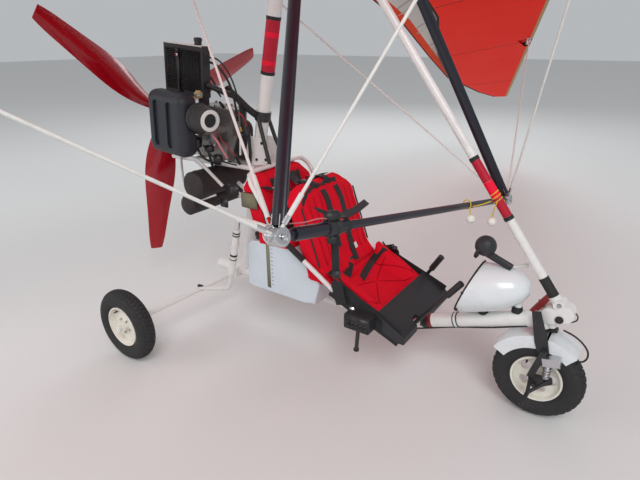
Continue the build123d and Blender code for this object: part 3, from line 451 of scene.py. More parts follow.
strut_bands = (
    # low, high, radius, material
    (34, 142, 22, "rubber"),
    (430, 448, 22, "rubber"),
    (448, 540, 20.6, "red_tape"),
    (540, 622, 20.9, "bright_tape"),
    (622, 728, 20.6, "red_tape"),
    (728, 746, 22, "rubber"),
)
for index, (low, high, radius, look) in enumerate(strut_bands):
    sleeve(f"strut_band_{index}", STRUT_FOOT, STRUT_TOP, low, high, radius, look)


# Control frame: rings, plates and bolts at its corners, and the lever bracket

for side, sign in SIDES:
    x, y, z = BAR[0], sign * BAR[1], BAR[2]
    turned(f"corner_ring_{side}", (x - 25, y, z), (x + 25, y, z),
           [(0, 11), (0, 25), (2, 28.2), (9, 28.2), (9, 27.2), (41, 27.2), (41, 28.2), (48, 28.2), (50, 25),
            (50, 17), (48, 17), (48, 11)], "alloy", "wing", WING)
    turned(f"corner_bolt_{side}", (x - 32, y, z), (x + 34, y, z),
           [(0, 7), (6, 8), (6, 4), (58, 4), (58, 8), (64, 8), (66, 5)], "bright", "wing", WING, 12)
    top = Vector((120, sign * 70, -34))
    way = (top - Vector((x, y, z))).normalized()
    for offset in (-16, 16):
        low = Vector((x + offset, y, z)) - way * 14
        strap(f"corner_tang_{side}_{offset + 16}", [low, low + way * 78], 26, "alloy", "wing", WING,
              across=Vector((1, 0, 0)).cross(way), thick=3)
    turned(f"corner_pin_{side}", Vector((x - 24, y, z)) + way * 52, Vector((x + 24, y, z)) + way * 52,
           [(0, 5), (2, 7), (46, 7), (48, 5)], "steel", "wing", WING, 12)
    ring = [Vector((x - 6, y + sign * 8, z))
            + Vector((0, cos(angle) * 26 + sign * 14, sin(angle) * 26 + 10))
            for angle in (0.0, 0.9, 1.8, 2.7, 3.6, 4.5, 5.4, 6.28)]
    tube(f"shackle_{side}", ring, 6, "bright", "wing", WING)

turned("grip_end", (553, -488, -1768), (553, -500, -1768), [(0, 21.4), (0, 23), (10, 23), (12, 21.4)],
       "rubber", "wing", WING)
turned("bracket_clamp", (553, -532, -1768), (553, -588, -1768),
       [(0, 22), (2, 27), (18, 27), (20, 24), (36, 24), (38, 27), (54, 27), (56, 22)], "black_plastic",
       "wing", WING)
boxes("bracket_block", [(543, -590, -1748, 571, -536, -1714), (537, -572, -1818, 563, -546, -1786)],
      "black_plastic", "wing", WING, 4)
strap("hand_lever", [(1372, -926, 1166), (1425, -908, 1152), (1450, -880, 1150), (1444, -800, 1146),
                     (1432, -720, 1146)], 24, "black_plastic", "wing", across=(0.7, 0.3, -0.6), thick=9)
tube("lever_pivot", [(1437, -915, 1128), (1442, -905, 1160)], 16, "black_metal", "wing")
strap("hanging_strap", [(1419, -900, 1098), (1426, -904, 1040), (1430, -903, 955)], 26, body="wing",
      across=(0.85, 0.5, 0.1))
boxes("strap_end", [(1418, -912, 934, 1446, -896, 962)], "black_plastic", "wing", rounding=3)
tube("pull_cord", [(1396, -1100, 1178), (1414, -1060, 1170), (1428, -1010, 1172), (1432, -960, 1160),
                   (1436, -930, 1140)], 4, "pink", "wing")


# Wires: sleeves and eyes on the six lower wires, and the upper wires

edge_far = CROSSBAR_SHARE * EDGE_LENGTH
lead_far = Vector((NOSE_X - edge_far * cos(NOSE_HALF), edge_far * sin(NOSE_HALF) * cos(FALL),
                   -edge_far * sin(NOSE_HALF) * sin(FALL)))
wires = (
    # label, top end to port, root beside the corner, reach of the stout sleeve
    ("front", (1405, 8, -12), (14, 4, 16), 120),
    ("rear", (-1122, 12, -8), (-14, 4, 12), 230),
    ("side", lead_far + Vector((0, 0, -10)), (0, 20, 10), 110),
)
for side, sign in SIDES:
    for label, (x, y, z), (dx, dy, dz), stout in wires:
        low = Vector((BAR[0] + dx, sign * (BAR[1] + dy), BAR[2] + dz))
        high = Vector((x, sign * y, z))
        run = (high - low).length
        sleeve(f"wire_root_{label}_{side}", low, high, 34, stout, 7.5, "sleeve", "wing", WING)
        sleeve(f"wire_eye_{label}_{side}", low, high, 24, 52, 8.5, "bright", "wing", WING)
        sleeve(f"wire_top_{label}_{side}", low, high, run - 160, run - 60, 6.5, "sleeve", "wing", WING)

turned("kingpost_cap", (KINGPOST_X, 0, 1020), (KINGPOST_X, 0, 1052),
       [(0, 20), (0, 23), (26, 23), (32, 16)], "rubber", "wing", WING)
upper = (
    # label, lower end to port
    ("nose", (1400, 0, 14)),
    ("tail", (-1170, 0, 26)),
    ("side", lead_far + Vector((0, 0, 27))),
    ("luff_in", (-800, 1500, -175)),
    ("luff_out", (-1200, 3300, -405)),
)
for label, (x, y, z) in upper:
    for side, sign in SIDES:
        if y or sign == 1:
            tube(f"upper_wire_{label}_{side}", [(KINGPOST_X, 0, 1040), (x, sign * y, z)], 4, "thin_wire",
                 "wing", WING)


# Sail: batten pockets that stand proud on the upper skin

def upper_skin(y, share):
    """A point on the upper skin, at a share of the chord from the leading edge, by its arc."""
    row, after = next(pair for pair in zip(SECTIONS, SECTIONS[1:]) if y <= pair[1][0])
    part = (y - row[0]) / (after[0] - row[0])
    trail, camber = (row[column] + (after[column] - row[column]) * part for column in (1, 3))
    lead = NOSE_X - y * LEAD_SLOPE
    chord = lead - trail
    x1, z1, x2, z2, x3, z3 = 0, 36, 0.4 * chord, camber + 18, chord, 0
    r1, r2, r3 = (x ** 2 + z ** 2 for x, z in ((x1, z1), (x2, z2), (x3, z3)))
    d = 2 * (x1 * (z2 - z3) + x2 * (z3 - z1) + x3 * (z1 - z2))
    cx = (r1 * (z2 - z3) + r2 * (z3 - z1) + r3 * (z1 - z2)) / d
    cz = (r1 * (x3 - x2) + r2 * (x1 - x3) + r3 * (x2 - x1)) / d
    radius = hypot(x1 - cx, z1 - cz)
    along = share * chord
    return lead - along, cz + sqrt(max(0, radius ** 2 - (along - cx) ** 2)) - y * tan(FALL)


for side, sign in SIDES:
    for index, y in enumerate((350, 800, 1250, 1700, 2150, 2600, 3050, 3500, 3950, 4400)):
        path = []
        for step in range(9):
            x, z = upper_skin(y, 0.06 + 0.93 * step / 8)
            path.append((x, sign * y, z + 1))
        strap(f"batten_{side}_{index}", path, 26, "batten", "wing", WING, thick=7)


for side, sign in SIDES:
    rows = []
    for y in (lead_far.y - 170, lead_far.y - 50, lead_far.y + 60):
        rows.append((NOSE_X - y * LEAD_SLOPE - 155, sign * y, -y * tan(FALL) - 19.5))
    strap(f"wire_patch_{side}", rows, 250, "patch", "wing", WING, across=(1, 0, 0.005), thick=1.5)
    x, y, z = lead_far
    turned(f"wire_fitting_{side}", (x, sign * y, z - 46), (x, sign * y, z - 14),
           [(0, 7), (6, 13), (24, 13), (32, 20)], "bright", "wing", WING, 16)


# Tie: yellow cord round the strut and the base bar, with two white balls

coil = []
for step in range(25):
    angle = step * 2 * pi / 8
    share = (515 + step * 2.2) / STRUT_LENGTH
    centre = Vector([foot + (top - foot) * share for foot, top in zip(STRUT_FOOT, STRUT_TOP)])
    coil.append(centre + Vector((0.8 * cos(angle), sin(angle), 0.6 * cos(angle))) * 22.5)
tube("tie_coil", coil, 5, "yellow_cord")
tube("tie_strand", [(1664, -20, 1004), (1640, -26, 990), (1612, -27, 977), (1590, -26, 968)], 5,
     "yellow_cord")
tube("tie_drop_strut", [(1690, -20, 1005), (1682, -24, 975), (1676, -14, 945), (1673, 0, 925)], 5,
     "yellow_cord")
bar_way = Vector((20, 139, -23)).normalized()
bar_side = bar_way.cross(Vector((0, 0, 1))).normalized()
bar_up = bar_side.cross(bar_way)
loop = []
for step in range(13):
    angle = radians(-60 + 30 * step)
    centre = Vector((1564, -44 + 2.5 * step, 974))
    loop.append(centre + (bar_side * cos(angle) + bar_up * sin(angle)) * 21)
loop += [Vector((1576, -14, 938)), Vector((1579, -2, 918))]
tube("tie_loop", loop, 5, "yellow_cord", "wing")
BALL = 21
ball_profile = [(BALL - BALL * cos(pi * step / 12), BALL * sin(pi * step / 12))
                for step in range(13)]
for index, (x, z, body) in enumerate(((1579, 900, "wing"), (1673, 906, "trike"))):
    turned(f"tie_ball_{index}", (x, 0, z - BALL), (x, 0, z + BALL), ball_profile, "ball", body)


# Nose: plugs, bolts, bands, and black cables

turned("nose_plug", (2018, -34, 535), (2018, -42, 535), [(0, 17), (0, 17), (5, 17), (8, 13)], "rubber")
turned("nose_plug_port", (2018, 34, 535), (2018, 40, 535), [(0, 17), (5, 16), (6, 12)], "rubber")
for side, sign in SIDES:
    turned(f"lug_bolt_{side}", (2007, sign * 33, 600), (2007, sign * 42, 600),
           [(0, 11), (2, 11), (2, 7), (8, 7), (9, 5)], "steel", sides=12)
tube_way = (KEEL_FRONT - KEEL_BEND).normalized()
below = Vector((tube_way.z, 0, -tube_way.x))
tube("front_cable", [KEEL_BEND + tube_way * t + below * (39 + 3 * sin(t / 60)) + Vector((0, -8, 0))
                     for t in (70, 160, 250, 340, 430, 520, 610, 655)], 8, "rubber")
tube_bands = (
    # name, low, high, radius, material
    ("tube_clamp_a", 288, 293, 38.5, "rubber"),
    ("tube_clamp", 293, 307, 37.5, "white_shell"),
    ("tube_clamp_b", 307, 312, 38.5, "rubber"),
    ("tube_wrap", 118, 150, 36.8, "rubber"),
    ("tube_wrap_red", 150, 172, 36.6, "dark_red"),
)
for name, low, high, radius, look in tube_bands:
    sleeve(name, KEEL_BEND, KEEL_FRONT, low, high, radius, look)
tube("crown_cable", [(2040, -10, 478), (2075, -14, 474), (2120, -16, 450), (2150, -16, 415),
                     (2154, -16, 385), (2146, -18, 364), (2132, -24, 356), (2120, -32, 362)],
     8, "rubber", "steering_fork")
tube("nose_wires", [(2030, -20, 520), (2072, -16, 530), (2088, -6, 548), (2074, 10, 566), (2050, 24, 556)],
     6, "rubber")


# Pod: edge trim, bolts, feet and dash, the compass ring and mount, and the vent stub

def pod_point(angle):
    """A point of the slanting rear edge of the pod."""
    tilt = radians(14)
    rise = 117 * sin(angle)
    length = max(0, (47.25 + 0.5815 * rise) / 0.8856)
    return (1560 + length * cos(tilt) - rise * sin(tilt), 134 * cos(angle),
            555 + length * sin(tilt) + rise * cos(tilt))


tube("pod_trim", [pod_point(pi * step / 16) for step in range(33)], 9, "rubber")
for index, (x, y, z) in enumerate(((1618, -131, 590), (1596, -121, 494), (1618, 131, 590))):
    out = 1 if y > 0 else -1
    turned(f"pod_bolt_{index}", (x, y, z), (x, y + out * 6, z), [(0, 7), (3, 7), (6, 4)], "rubber", sides=12)
for index, x in enumerate((1689, 1838)):
    z = KEEL_BEND.z + (x - KEEL_BEND.x) * 0.3646 + 34
    turned(f"pod_foot_{index}", (x, 0, z), (x, 0, z + 30), [(0, 24), (4, 26), (24, 22), (30, 20)], "rubber")
boxes("dash", [(1668, -96, 520, 1676, 96, 640)], "black_plastic", rounding=3)
turned("compass_ring", (1645, 0, 760), (1612, 0, 772), [(0, 40), (4, 46), (14, 44), (18, 38)], "black_metal")
strap("compass_mount", [(1690, -2, 757), (1735, -2, 735), (1790, -2, 712)], 30, "black_plastic", thick=8)
turned("vent_stub", (1790, 20, 706), (1850, 40, 722), [(0, 8), (40, 7), (44, 10), (62, 9)], "sleeve",
       sides=16)


# Tyres and wheels: treads, studs, rim beads and valves

def tread_tyre(name, source, body, centre, blocks, depth):
    """A tyre with the solid's section and grooves between tread blocks; it replaces the solid."""
    section = []
    for step in range(49):
        angle = radians(-147 + 294 * step / 48)
        section.append((TYRE_SECTION * sin(angle), TYRE_RADIUS - TYRE_SECTION + TYRE_SECTION * cos(angle),
                        abs(degrees(angle))))
    shape = bmesh.new()
    turns = blocks * 8
    columns = []
    for step in range(turns):
        spin = 2 * pi * step / turns
        column = []
        for row, (across, radius, tilt) in enumerate(section):
            part = (step + (4 if row // 6 % 2 else 0)) % 8
            groove = tilt < 64 and (part < 3 or (tilt < 40 and row % 6 == 0))
            deep = depth * (0.5 if tilt > 40 else 1) if groove else 0
            reach = (radius - deep) / 1000
            column.append(shape.verts.new((centre[0] / 1000 + reach * cos(spin),
                                           (centre[1] + across) / 1000,
                                           centre[2] / 1000 + reach * sin(spin))))
        columns.append(column)
    join_rings(shape, columns, ring_only=True)
    piece = add_mesh(name, shape, "tyre", body, sharp=35)
    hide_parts(source)


tread_tyre("front_tread", "front_tyre", "front_wheel", (WHEELBASE - MID_X, 0, TYRE_RADIUS), 38, 6)
for side, sign in SIDES:
    tread_tyre(f"rear_{side}_tread", f"rear_{side}_tyre", f"rear_wheel_{side}",
               (-MID_X, sign * TRACK / 2, TYRE_RADIUS), 52, 4)

wheels = (
    # name, body, x, y, outward ways, hub's half width
    ("front", "front_wheel", WHEELBASE, 0, (-1, 1), 8),
    ("rear_port", "rear_wheel_port", 0, TRACK / 2, (1,), 17),
    ("rear_starboard", "rear_wheel_starboard", 0, -TRACK / 2, (-1,), 17),
)
valve_x, valve_z = 88 * cos(2.2), TYRE_RADIUS + 88 * sin(2.2)
for name, body, x, y, ways, hub in wheels:
    for way in ways:
        face = y + way * hub
        for step in range(5):
            angle = pi * (2 * step + 1) / 5 + 0.3
            px, pz = x + 42 * cos(angle), TYRE_RADIUS + 42 * sin(angle)
            turned(f"{name}_stud_{step}_{way + 1}", (px, face, pz), (px, face + way * 9, pz),
                   [(0, 6), (5, 6), (9, 4)], "steel", body, sides=10)
        turned(f"{name}_bead_{way + 1}", (x, y + way * 34, TYRE_RADIUS), (x, y + way * 39, TYRE_RADIUS),
               [(0, 106), (0, 115), (4, 113), (4, 107)], "cream_rim", body, sides=64, ring_only=True)
        turned(f"{name}_valve_{way + 1}", (x + valve_x, y + way * 14, valve_z),
               (x + valve_x, y + way * 36, valve_z), [(0, 4), (14, 4), (14, 3), (22, 3)], "rubber", body,
               sides=10)


# Tank: level strip, moulded ticks, cap grip

boxes("tank_gauge", [(549, -237.5, 356, 573, -234, 628)], "gauge", rounding=1.2)
boxes("tank_ticks", [(580, -236.6, z, 594, -234.5, z + 2) for z in range(380, 620, 24)], "black_plastic",
      rounding=0.4)
turned("tank_cap_grip", (470, -180, 634), (470, -180, 656), [(0, 33), (4, 34), (16, 34), (22, 28)], "rubber")


# Engine: filter, hoses, cables, radiator, mounts, caps, nuts, muffler ends, propeller bolts

on_engine("filter_ring", (725, -290, 108), (745, -294.7, 108.7),
          [(-16, 56), (-8, 58), (0, 57), (4, 51), (4, 37), (-6, 35)], "sleeve")
on_engine("filter_core", (719, -288.6, 107.8), (741, -293.8, 108.5), [(0, 37), (2, 37), (3, 30)],
          "rubber")
on_engine("filter_band", (612, -262, 104), (631, -266.5, 104.6),
          [(0, 77), (2, 79), (16, 77.5), (18, 74)], "black_metal")
cables = (
    # name, diameter, material, points
    ("hose_fat", 40, "rubber",
     [(100, 10, 1395), (150, 0, 1372), (210, 0, 1330), (262, 0, 1292), (345, 0, 1252)]),
    ("arc_a", 11, "rubber",
     [(-76, -60, 1400), (-70, -66, 1452), (-10, -70, 1492), (60, -64, 1462), (96, -60, 1392)]),
    ("arc_b", 13, "rubber",
     [(6, -62, 1500), (20, -66, 1545), (120, -70, 1530), (200, -64, 1430), (228, -60, 1300),
      (232, -60, 1230)]),
    ("arc_c", 9, "rubber",
     [(40, -70, 1560), (110, -76, 1575), (200, -74, 1500), (250, -66, 1380), (262, -62, 1268)]),
    ("lead_a", 9, "rubber", [(85, -30, 1352), (70, -60, 1410), (0, -90, 1420), (-60, -96, 1380)]),
    ("lead_b", 9, "rubber", [(-35, -30, 1370), (-60, -60, 1425), (-110, -96, 1420), (-140, -104, 1380)]),
    ("wire_orange", 6, "signal_red",
     [(232, -64, 1262), (262, -80, 1285), (292, -72, 1262), (300, -64, 1210)]),
    ("wire_red", 5, "signal_red",
     [(150, -150, 1196), (180, -160, 1150), (214, -130, 1090), (240, -100, 1040)]),
    ("drain_hose", 16, "black_plastic",
     [(60, -150, 1090), (90, -160, 1030), (70, -130, 985), (30, -90, 960)]),
    ("coil_rod_a", 30, "black_plastic", [(270, -60, 1269), (278, -60, 1215)]),
    ("coil_rod_b", 34, "black_metal", [(282, -60, 1212), (300, -60, 1160)]),
    ("coil_rod_c", 22, "brass", [(262, -74, 1205), (268, -72, 1180)]),
    ("silver_rod", 16, "bright", [(264, -80, 1150), (256, -80, 1046)]),
    ("loom", 15, "rubber", [(250, -70, 1160), (236, -92, 1100), (210, -84, 1040), (230, -60, 985)]),
    ("down_hose", 18, "rubber", [(300, -50, 1158), (312, -60, 1100), (308, -56, 1030), (290, -50, 985)]),
    ("can_stay", 20, "sleeve", [(22, -198, 1016), (155, -140, 862)]),
    ("can_rod", 12, "sleeve", [(35, -205, 773), (119, -165, 808)]),
    ("tail_hoop", 18, "white_paint", [(-232, -100, 985), (-238, -102, 900), (-227, -104, 821)]),
    ("vent_hose", 12, "pink", [(205, -240, 1186), (228, -235, 1160), (242, -212, 1105), (251, -180, 1045)]),
    ("fuel_hose", 13, "rubber", [(60, -222, 1112), (74, -226, 1062), (112, -200, 1012), (130, -120, 985)]),
    ("choke_cable", 8, "rubber", [(100, -210, 1108), (150, -215, 1060), (190, -180, 1020), (230, -90, 985)]),
    ("spring_a", 18, "bright", [(-35, -72, 1512), (-40, -74, 1488)]),
    ("spring_b", 16, "bright", [(-38, -74, 1478), (-46, -72, 1456)]),
)
for name, diameter, look, points in cables:
    tube(name, points, diameter, look)
turned("amber_bottle", (74, -190, 1362), (76, -190, 1400),
       [(0, 20), (6, 23), (26, 23), (32, 15), (38, 14)], "amber")
turned("bottle_clamp", (75, -190, 1374), (75, -190, 1380), [(0, 23), (1, 24), (5, 24), (6, 23)], "steel")
on_engine("radiator_neck", (452, -102, 470), (452, -102, 500),
          [(0, 20), (4, 23), (14, 23), (20, 18)], "black_plastic")
fins = [(222, -139, 207 + step * 9.2, 490, -66, 207 + step * 9.2 + 2.2) for step in range(24)]
boxes("radiator_fins", fins, "fin_metal", "trike", ENGINE, 0.5)
boxes("radiator_tubes", [(226 + step * 22, -133, 203, 230 + step * 22, -72, 422) for step in range(12)],
      "black_metal", "trike", ENGINE, 0.5)
# A thin light plate along the radiator's top edge: a painted highlight on the black radiator, not a part of
# its own colour.
boxes("radiator_top_highlight", [(204, -134, 445.5, 508, -71, 451.5)], "sleeve", "trike", ENGINE, 1)
boxes("engine_mounts", [(190, -160, 828, 292, -146, 884), (140, -160, 738, 200, -146, 790),
                        (34, -243, 1092, 84, -200, 1148), (108, -214, 1072, 158, -180, 1108),
                        (150, -196, 1012, 198, -160, 1056)], "black_metal", rounding=5)
boxes("filter_clamp", [(66, -262, 1172, 118, -250, 1180)], "bright", rounding=1.5)
boxes("radiator_stay", [(318, -146, 170, 338, -138, 408), (318, -150, 405, 338, -134, 425)],
      "black_metal", "trike", ENGINE, 2)
on_engine("radiator_stud", (328, -146, 392), (328, -160, 392), [(0, 11), (5, 11), (5, 6), (13, 6)],
          "bright", 12)
for index, x in enumerate((475, 600)):
    on_engine(f"plug_cap_{index}", (x, -62, 132), (x - 4, -92, 168),
              [(0, 9), (14, 10), (30, 8), (46, 6)], "rubber", 14)
    on_engine(f"carb_bowl_{index}", (x - 10, -140, -62), (x - 10, -140, -96),
              [(0, 25), (20, 26), (30, 20), (34, 12)], "alloy", 20)
    on_engine(f"carb_top_{index}", (x - 10, -140, 38), (x - 10, -140, 74),
              [(0, 26), (14, 26), (20, 16), (36, 12)], "black_plastic", 20)
    for bolt, (dx, y) in enumerate(((46, -50), (-46, -50), (46, 50), (-46, 50))):
        on_engine(f"head_nut_{index}_{bolt}", (x + dx, y, 124), (x + dx, y, 136),
                  [(0, 9), (8, 9), (8, 5), (12, 5)], "steel", 6)
on_engine("starter_rim", (703, 0, -85), (716, 0, -85),
          [(0, 74), (6, 74), (10, 66), (10, 30), (13, 26)], "black_metal", 40)
for end, y in (("low", -215), ("high", 85)):
    on_engine(f"can_seam_{end}", (532, y, -305), (532, y + 8, -305),
              [(0, 82), (1, 84), (7, 84), (8, 82)], "rust_can", 48)
on_engine("can_dome", (532, -249, -305), (532, -272, -305), [(0, 81), (8, 76), (16, 58), (22, 20)],
          "rust_can", 48)
on_engine("tail_can_dome", (493, -261, -432), (493, -280, -432),
          [(0, 59), (8, 54), (15, 38), (19, 12)], "rust_can", 48)
for step in range(6):
    angle = pi * step / 3 + 0.2
    y, z = 40 * cos(angle), 40 * sin(angle)
    turned(f"hub_bolt_{step}", (-32, y, z), (-42, y, z), [(0, 8), (6, 8), (6, 5), (10, 5)], "bright",
           "propeller", ENGINE, 6)
turned("hub_cap", (-31, 0, 0), (-48, 0, 0), [(0, 22), (10, 22), (17, 14)], "black_metal", "propeller",
       ENGINE)


# Bands and rods of the dampers, bands on the gear legs, bolts of the mast gusset

for side, sign in SIDES:
    top, bottom = (405, sign * 285, 760), (330, sign * 298, 400)
    for index, (low, high) in enumerate(((92, 100), (108, 116), (232, 244), (262, 268))):
        sleeve(f"damper_band_{side}_{index}", top, bottom, low, high, 21, "rubber")
    sleeve(f"damper_rod_{side}", top, bottom, 4, 74, 14, "bright")
for side, sign in SIDES:
    strap(f"leg_band_{side}", [(60, sign * 296, 238), (60, sign * 312, 238)], 34, "rubber",
          across=(1, 0, 0), thick=34)
for index, (x, z) in enumerate(((342, 1023), (300, 1060), (410, 1030), (385, 1120))):
    for sign in (-1, 1):
        turned(f"gusset_bolt_{index}_{sign + 1}", (x, sign * 40, z), (x, sign * 48, z),
               [(0, 8), (5, 8), (5, 5), (8, 5)], "black_metal", sides=12)


# Cushions: slightly smaller copies of the solids, swelled as cloth under pressure, with small moves

SHRINK = 5
PRESSURE = 4
CLOTH_FRAMES = 20
# in metres
VOXEL = 0.008
MOST_DENT = 0.002
MOST_SLIDE = 0.003
BACK_SEAMS = (-196, -144, -88, 88, 144, 196)


def seat_cushion(seat, part, cap, channels=()):
    """The cushion rises by cap at most; channels are (y, width, depth) of its seams."""
    source = f"{seat}_seat_{part}"
    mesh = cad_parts[source].data.copy()
    mesh.materials.clear()
    piece = bpy.data.objects.new(f"{seat}_{part}_cushion", mesh)
    link(piece)
    bpy.context.view_layer.objects.active = piece
    low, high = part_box(source)
    middle = (Vector(low) + Vector(high)) / 2
    size = Vector(high) - Vector(low)
    for vert in mesh.vertices:
        for axis in range(3):
            factor = 1 - 2 * SHRINK / 1000 / size[axis]
            vert.co[axis] = middle[axis] + (vert.co[axis] - middle[axis]) * factor
    remesh = piece.modifiers.new("remesh", "REMESH")
    remesh.mode = "VOXEL"
    remesh.voxel_size = VOXEL
    bpy.ops.object.modifier_apply(modifier=remesh.name)
    rest = [(vert.co.copy(), vert.normal.copy()) for vert in piece.data.vertices]
    cloth = piece.modifiers.new("cloth", "CLOTH")
    cloth.settings.use_pressure = True
    cloth.settings.uniform_pressure_force = PRESSURE
    cloth.settings.effector_weights.gravity = 0
    cloth.settings.quality = 4
    for moment in range(1, CLOTH_FRAMES + 1):
        bpy.context.scene.frame_set(moment)
    bpy.ops.object.modifier_apply(modifier=cloth.name)
    for vert, (old, way) in zip(piece.data.vertices, rest):
        move = vert.co - old
        lift = max(-MOST_DENT, min(cap / 1000, move.dot(way)))
        slide = move - way * move.dot(way)
        if slide.length > MOST_SLIDE:
            slide *= MOST_SLIDE / slide.length
        vert.co = old + way * lift + slide
    for vert in piece.data.vertices:
        for y, width, depth in channels:
            away = abs(vert.co.y - y / 1000)
            if away < 3 * width / 1000 and vert.normal.x > 0.15:
                vert.co -= vert.normal * depth / 1000 * exp(-(away * 1000 / width) ** 2)
    smooth = piece.modifiers.new("smooth", "SMOOTH")
    smooth.factor = 0.5
    smooth.iterations = 2
    piece.data.materials.append(materials["red_fabric"])
    piece.data.shade_smooth()
    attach(piece, "trike")
    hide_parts(source)
    return piece


cushions = [
    seat_cushion("pilot", "back", 14, [(y, 6, 6) for y in BACK_SEAMS] + [(0, 6, 4)]),
    seat_cushion("pilot", "pan", 10, [(0, 8, 5)]),
    seat_cushion("passenger", "back", 14, [(y, 6, 5) for y in (-120, 0, 120)]),
    seat_cushion("passenger", "pan", 10),
]
bpy.context.view_layer.update()
skins = [BVHTree.FromObject(piece, bpy.context.evaluated_depsgraph_get()) for piece in cushions]
BACK_WAY = Vector((0.94, 0, 0.35)).normalized()
PAN_WAY = Vector((0.36, 0, 0.93)).normalized()
LAY_STEP = 25
# in metres
RAY_START = 0.09
RAY_LENGTH = 0.16


def lay(points, way, gap=3):
    """Points in the trike's frame, filled in and let down onto the cushions against the given way."""
    path = []
    for a, b in zip(points, points[1:]):
        a, b = Vector(a), Vector(b)
        count = max(1, round((b - a).length / LAY_STEP))
        path += [a.lerp(b, step / count) for step in range(count)]
    path.append(Vector(points[-1]))
    rested = []
    for point in path:
        start = TRIKE @ (point / 1000) + way * RAY_START
        hits = [skin.ray_cast(start, -way, RAY_LENGTH)[0] for skin in skins]
        hits = [hit for hit in hits if hit is not None]
        if hits:
            nearest = min(hits, key=lambda hit: (hit - start).length)
            point = TRIKE.inverted() @ nearest * 1000 + way * gap
        rested.append(point)
    smoothed = [(a + b * 2 + c) / 4 for a, b, c in zip(rested, rested[1:], rested[2:])]
    return [rested[0]] + smoothed + [rested[-1]]


# Piping and seams

pipings = (
    # name, y, way to the seat, points
    ("pan_piping", PAN_HALF, PAN_WAY, ((1014, 574), (1080, 541), (1156, 498), (1266, 434))),
    ("pilot_back_piping", PAN_HALF, BACK_WAY, ((915, 575), (870, 700), (826, 820), (806, 876))),
    ("passenger_piping", PAN_HALF, BACK_WAY, ((588, 702), (552, 800), (520, 890))),
)
for side, sign in SIDES:
    for name, y, way, points in pipings:
        tube(f"{name}_{side}", lay([(x, sign * y, z) for x, z in points], way, 2), 9, "rubber")
pan_seams = (
    # points along the pan's seams to port
    ((1052, 240, 530), (1113, 0, 452), (1239, 195, 403), (1190, 244, 470)),
    ((1000, 110, 500), (1087, 166, 462), (1217, 209, 412)),
)
for index, (points, (_, sign)) in enumerate([(points, side) for points in pan_seams for side in SIDES]):
    points = lay([(x, sign * y, z) for x, y, z in points], PAN_WAY, 0.5)
    tube(f"pan_seam_{index}", points, 4, "seam", soft=False)
strap("seat_fold", [(972, y, 503) for y in (-232, -120, 0, 120, 232)], 92, "red_fabric",
      across=(0.75, 0, -0.6), thick=9)
for index, y in enumerate(BACK_SEAMS):
    tube(f"back_seam_{index}", lay([(800, y, 900), (870, y, 700), (910, y, 560)], BACK_WAY, 0.3), 3, "seam")


# Belts

belts = (
    # name, width, way to the seat, across, points
    ("shoulder_a", 44, BACK_WAY, (0, 1, 0),
     ((706, -96, 968), (748, -92, 972), (782, -64, 944), (813, -39, 859), (833, -43, 807), (870, -52, 705),
      (900, -60, 620))),
    ("shoulder_b", 44, BACK_WAY, (0, 1, 0),
     ((706, 40, 968), (748, 45, 972), (784, 56, 938), (815, 86, 851), (843, 84, 780), (885, 60, 666),
      (925, 48, 575), (950, 30, 525))),
    ("shoulder_side", 40, BACK_WAY, (0.3, 0, -0.95),
     ((784, -60, 940), (783, -122, 940), (790, -190, 918), (798, -236, 880))),
    ("shoulder_cross", 40, BACK_WAY, (0.3, 0, -0.95), ((786, -50, 938), (784, 20, 944), (784, 100, 938))),
    ("lap_port", 52, PAN_WAY, (0.86, -0.45, -0.2),
     ((1062, 262, 525), (1050, 248, 548), (1030, 215, 532), (1008, 160, 500), (1026, 60, 488),
      (1056, -59, 474))),
    ("lap_starboard", 46, PAN_WAY, (0.8, 0.4, -0.4),
     ((985, -258, 560), (985, -232, 578), (992, -180, 520), (1000, -110, 500), (960, -40, 520))),
)
for name, width, way, across, points in belts:
    strap(name, lay(points, way), width, across=across)
strap("belt_tag", lay([(908, 88, 600), (920, 88, 570)], BACK_WAY, 5), 26, "tag", thick=1)
boxes("pilot_buckle", [(930, -22, 528, 962, 34, 556)], "black_plastic", rounding=5)
boxes("side_buckle", [(1068, 240, 536, 1104, 266, 560)], "black_plastic", rounding=4)
strap("thigh_strap", [(1088, 262, 545), (1092, 272, 520), (1092, 274, 440)], 44, across=(0.95, 0, -0.3))
for side, sign in SIDES:
    y = sign * RAIL_Y
    for part, (x0, z0, x1, z1) in enumerate(((1012, 478, 1070, 441), (1068, 441, 1392, 339),
                                             (690, 686, 826, 598))):
        start, end = Vector((x0, y, z0)), Vector((x1, y, z1))
        sleeve(f"rail_cover_{side}_{part}", start, end, 0, (end - start).length, 16, "webbing")
    strap(f"rail_pouch_{side}", [(1040, sign * 282, 548), (1054, sign * 285, 482), (1072, sign * 282, 428)],
          62, across=(0.93, 0, 0.35), thick=9)
    boxes(f"rail_adjuster_{side}", [(1120, sign * 284 - 8, 404, 1148, sign * 284 + 8, 436)], "bright",
          rounding=4)
    strap(f"side_panel_{side}", [(1000, sign * 268, 502), (1120, sign * 269, 448), (1270, sign * 270, 390),
                                  (1392, sign * 270, 340)], 108, across=(0.3, 0, 0.95), thick=2)

# Passenger's harness, left in a pile between the seats

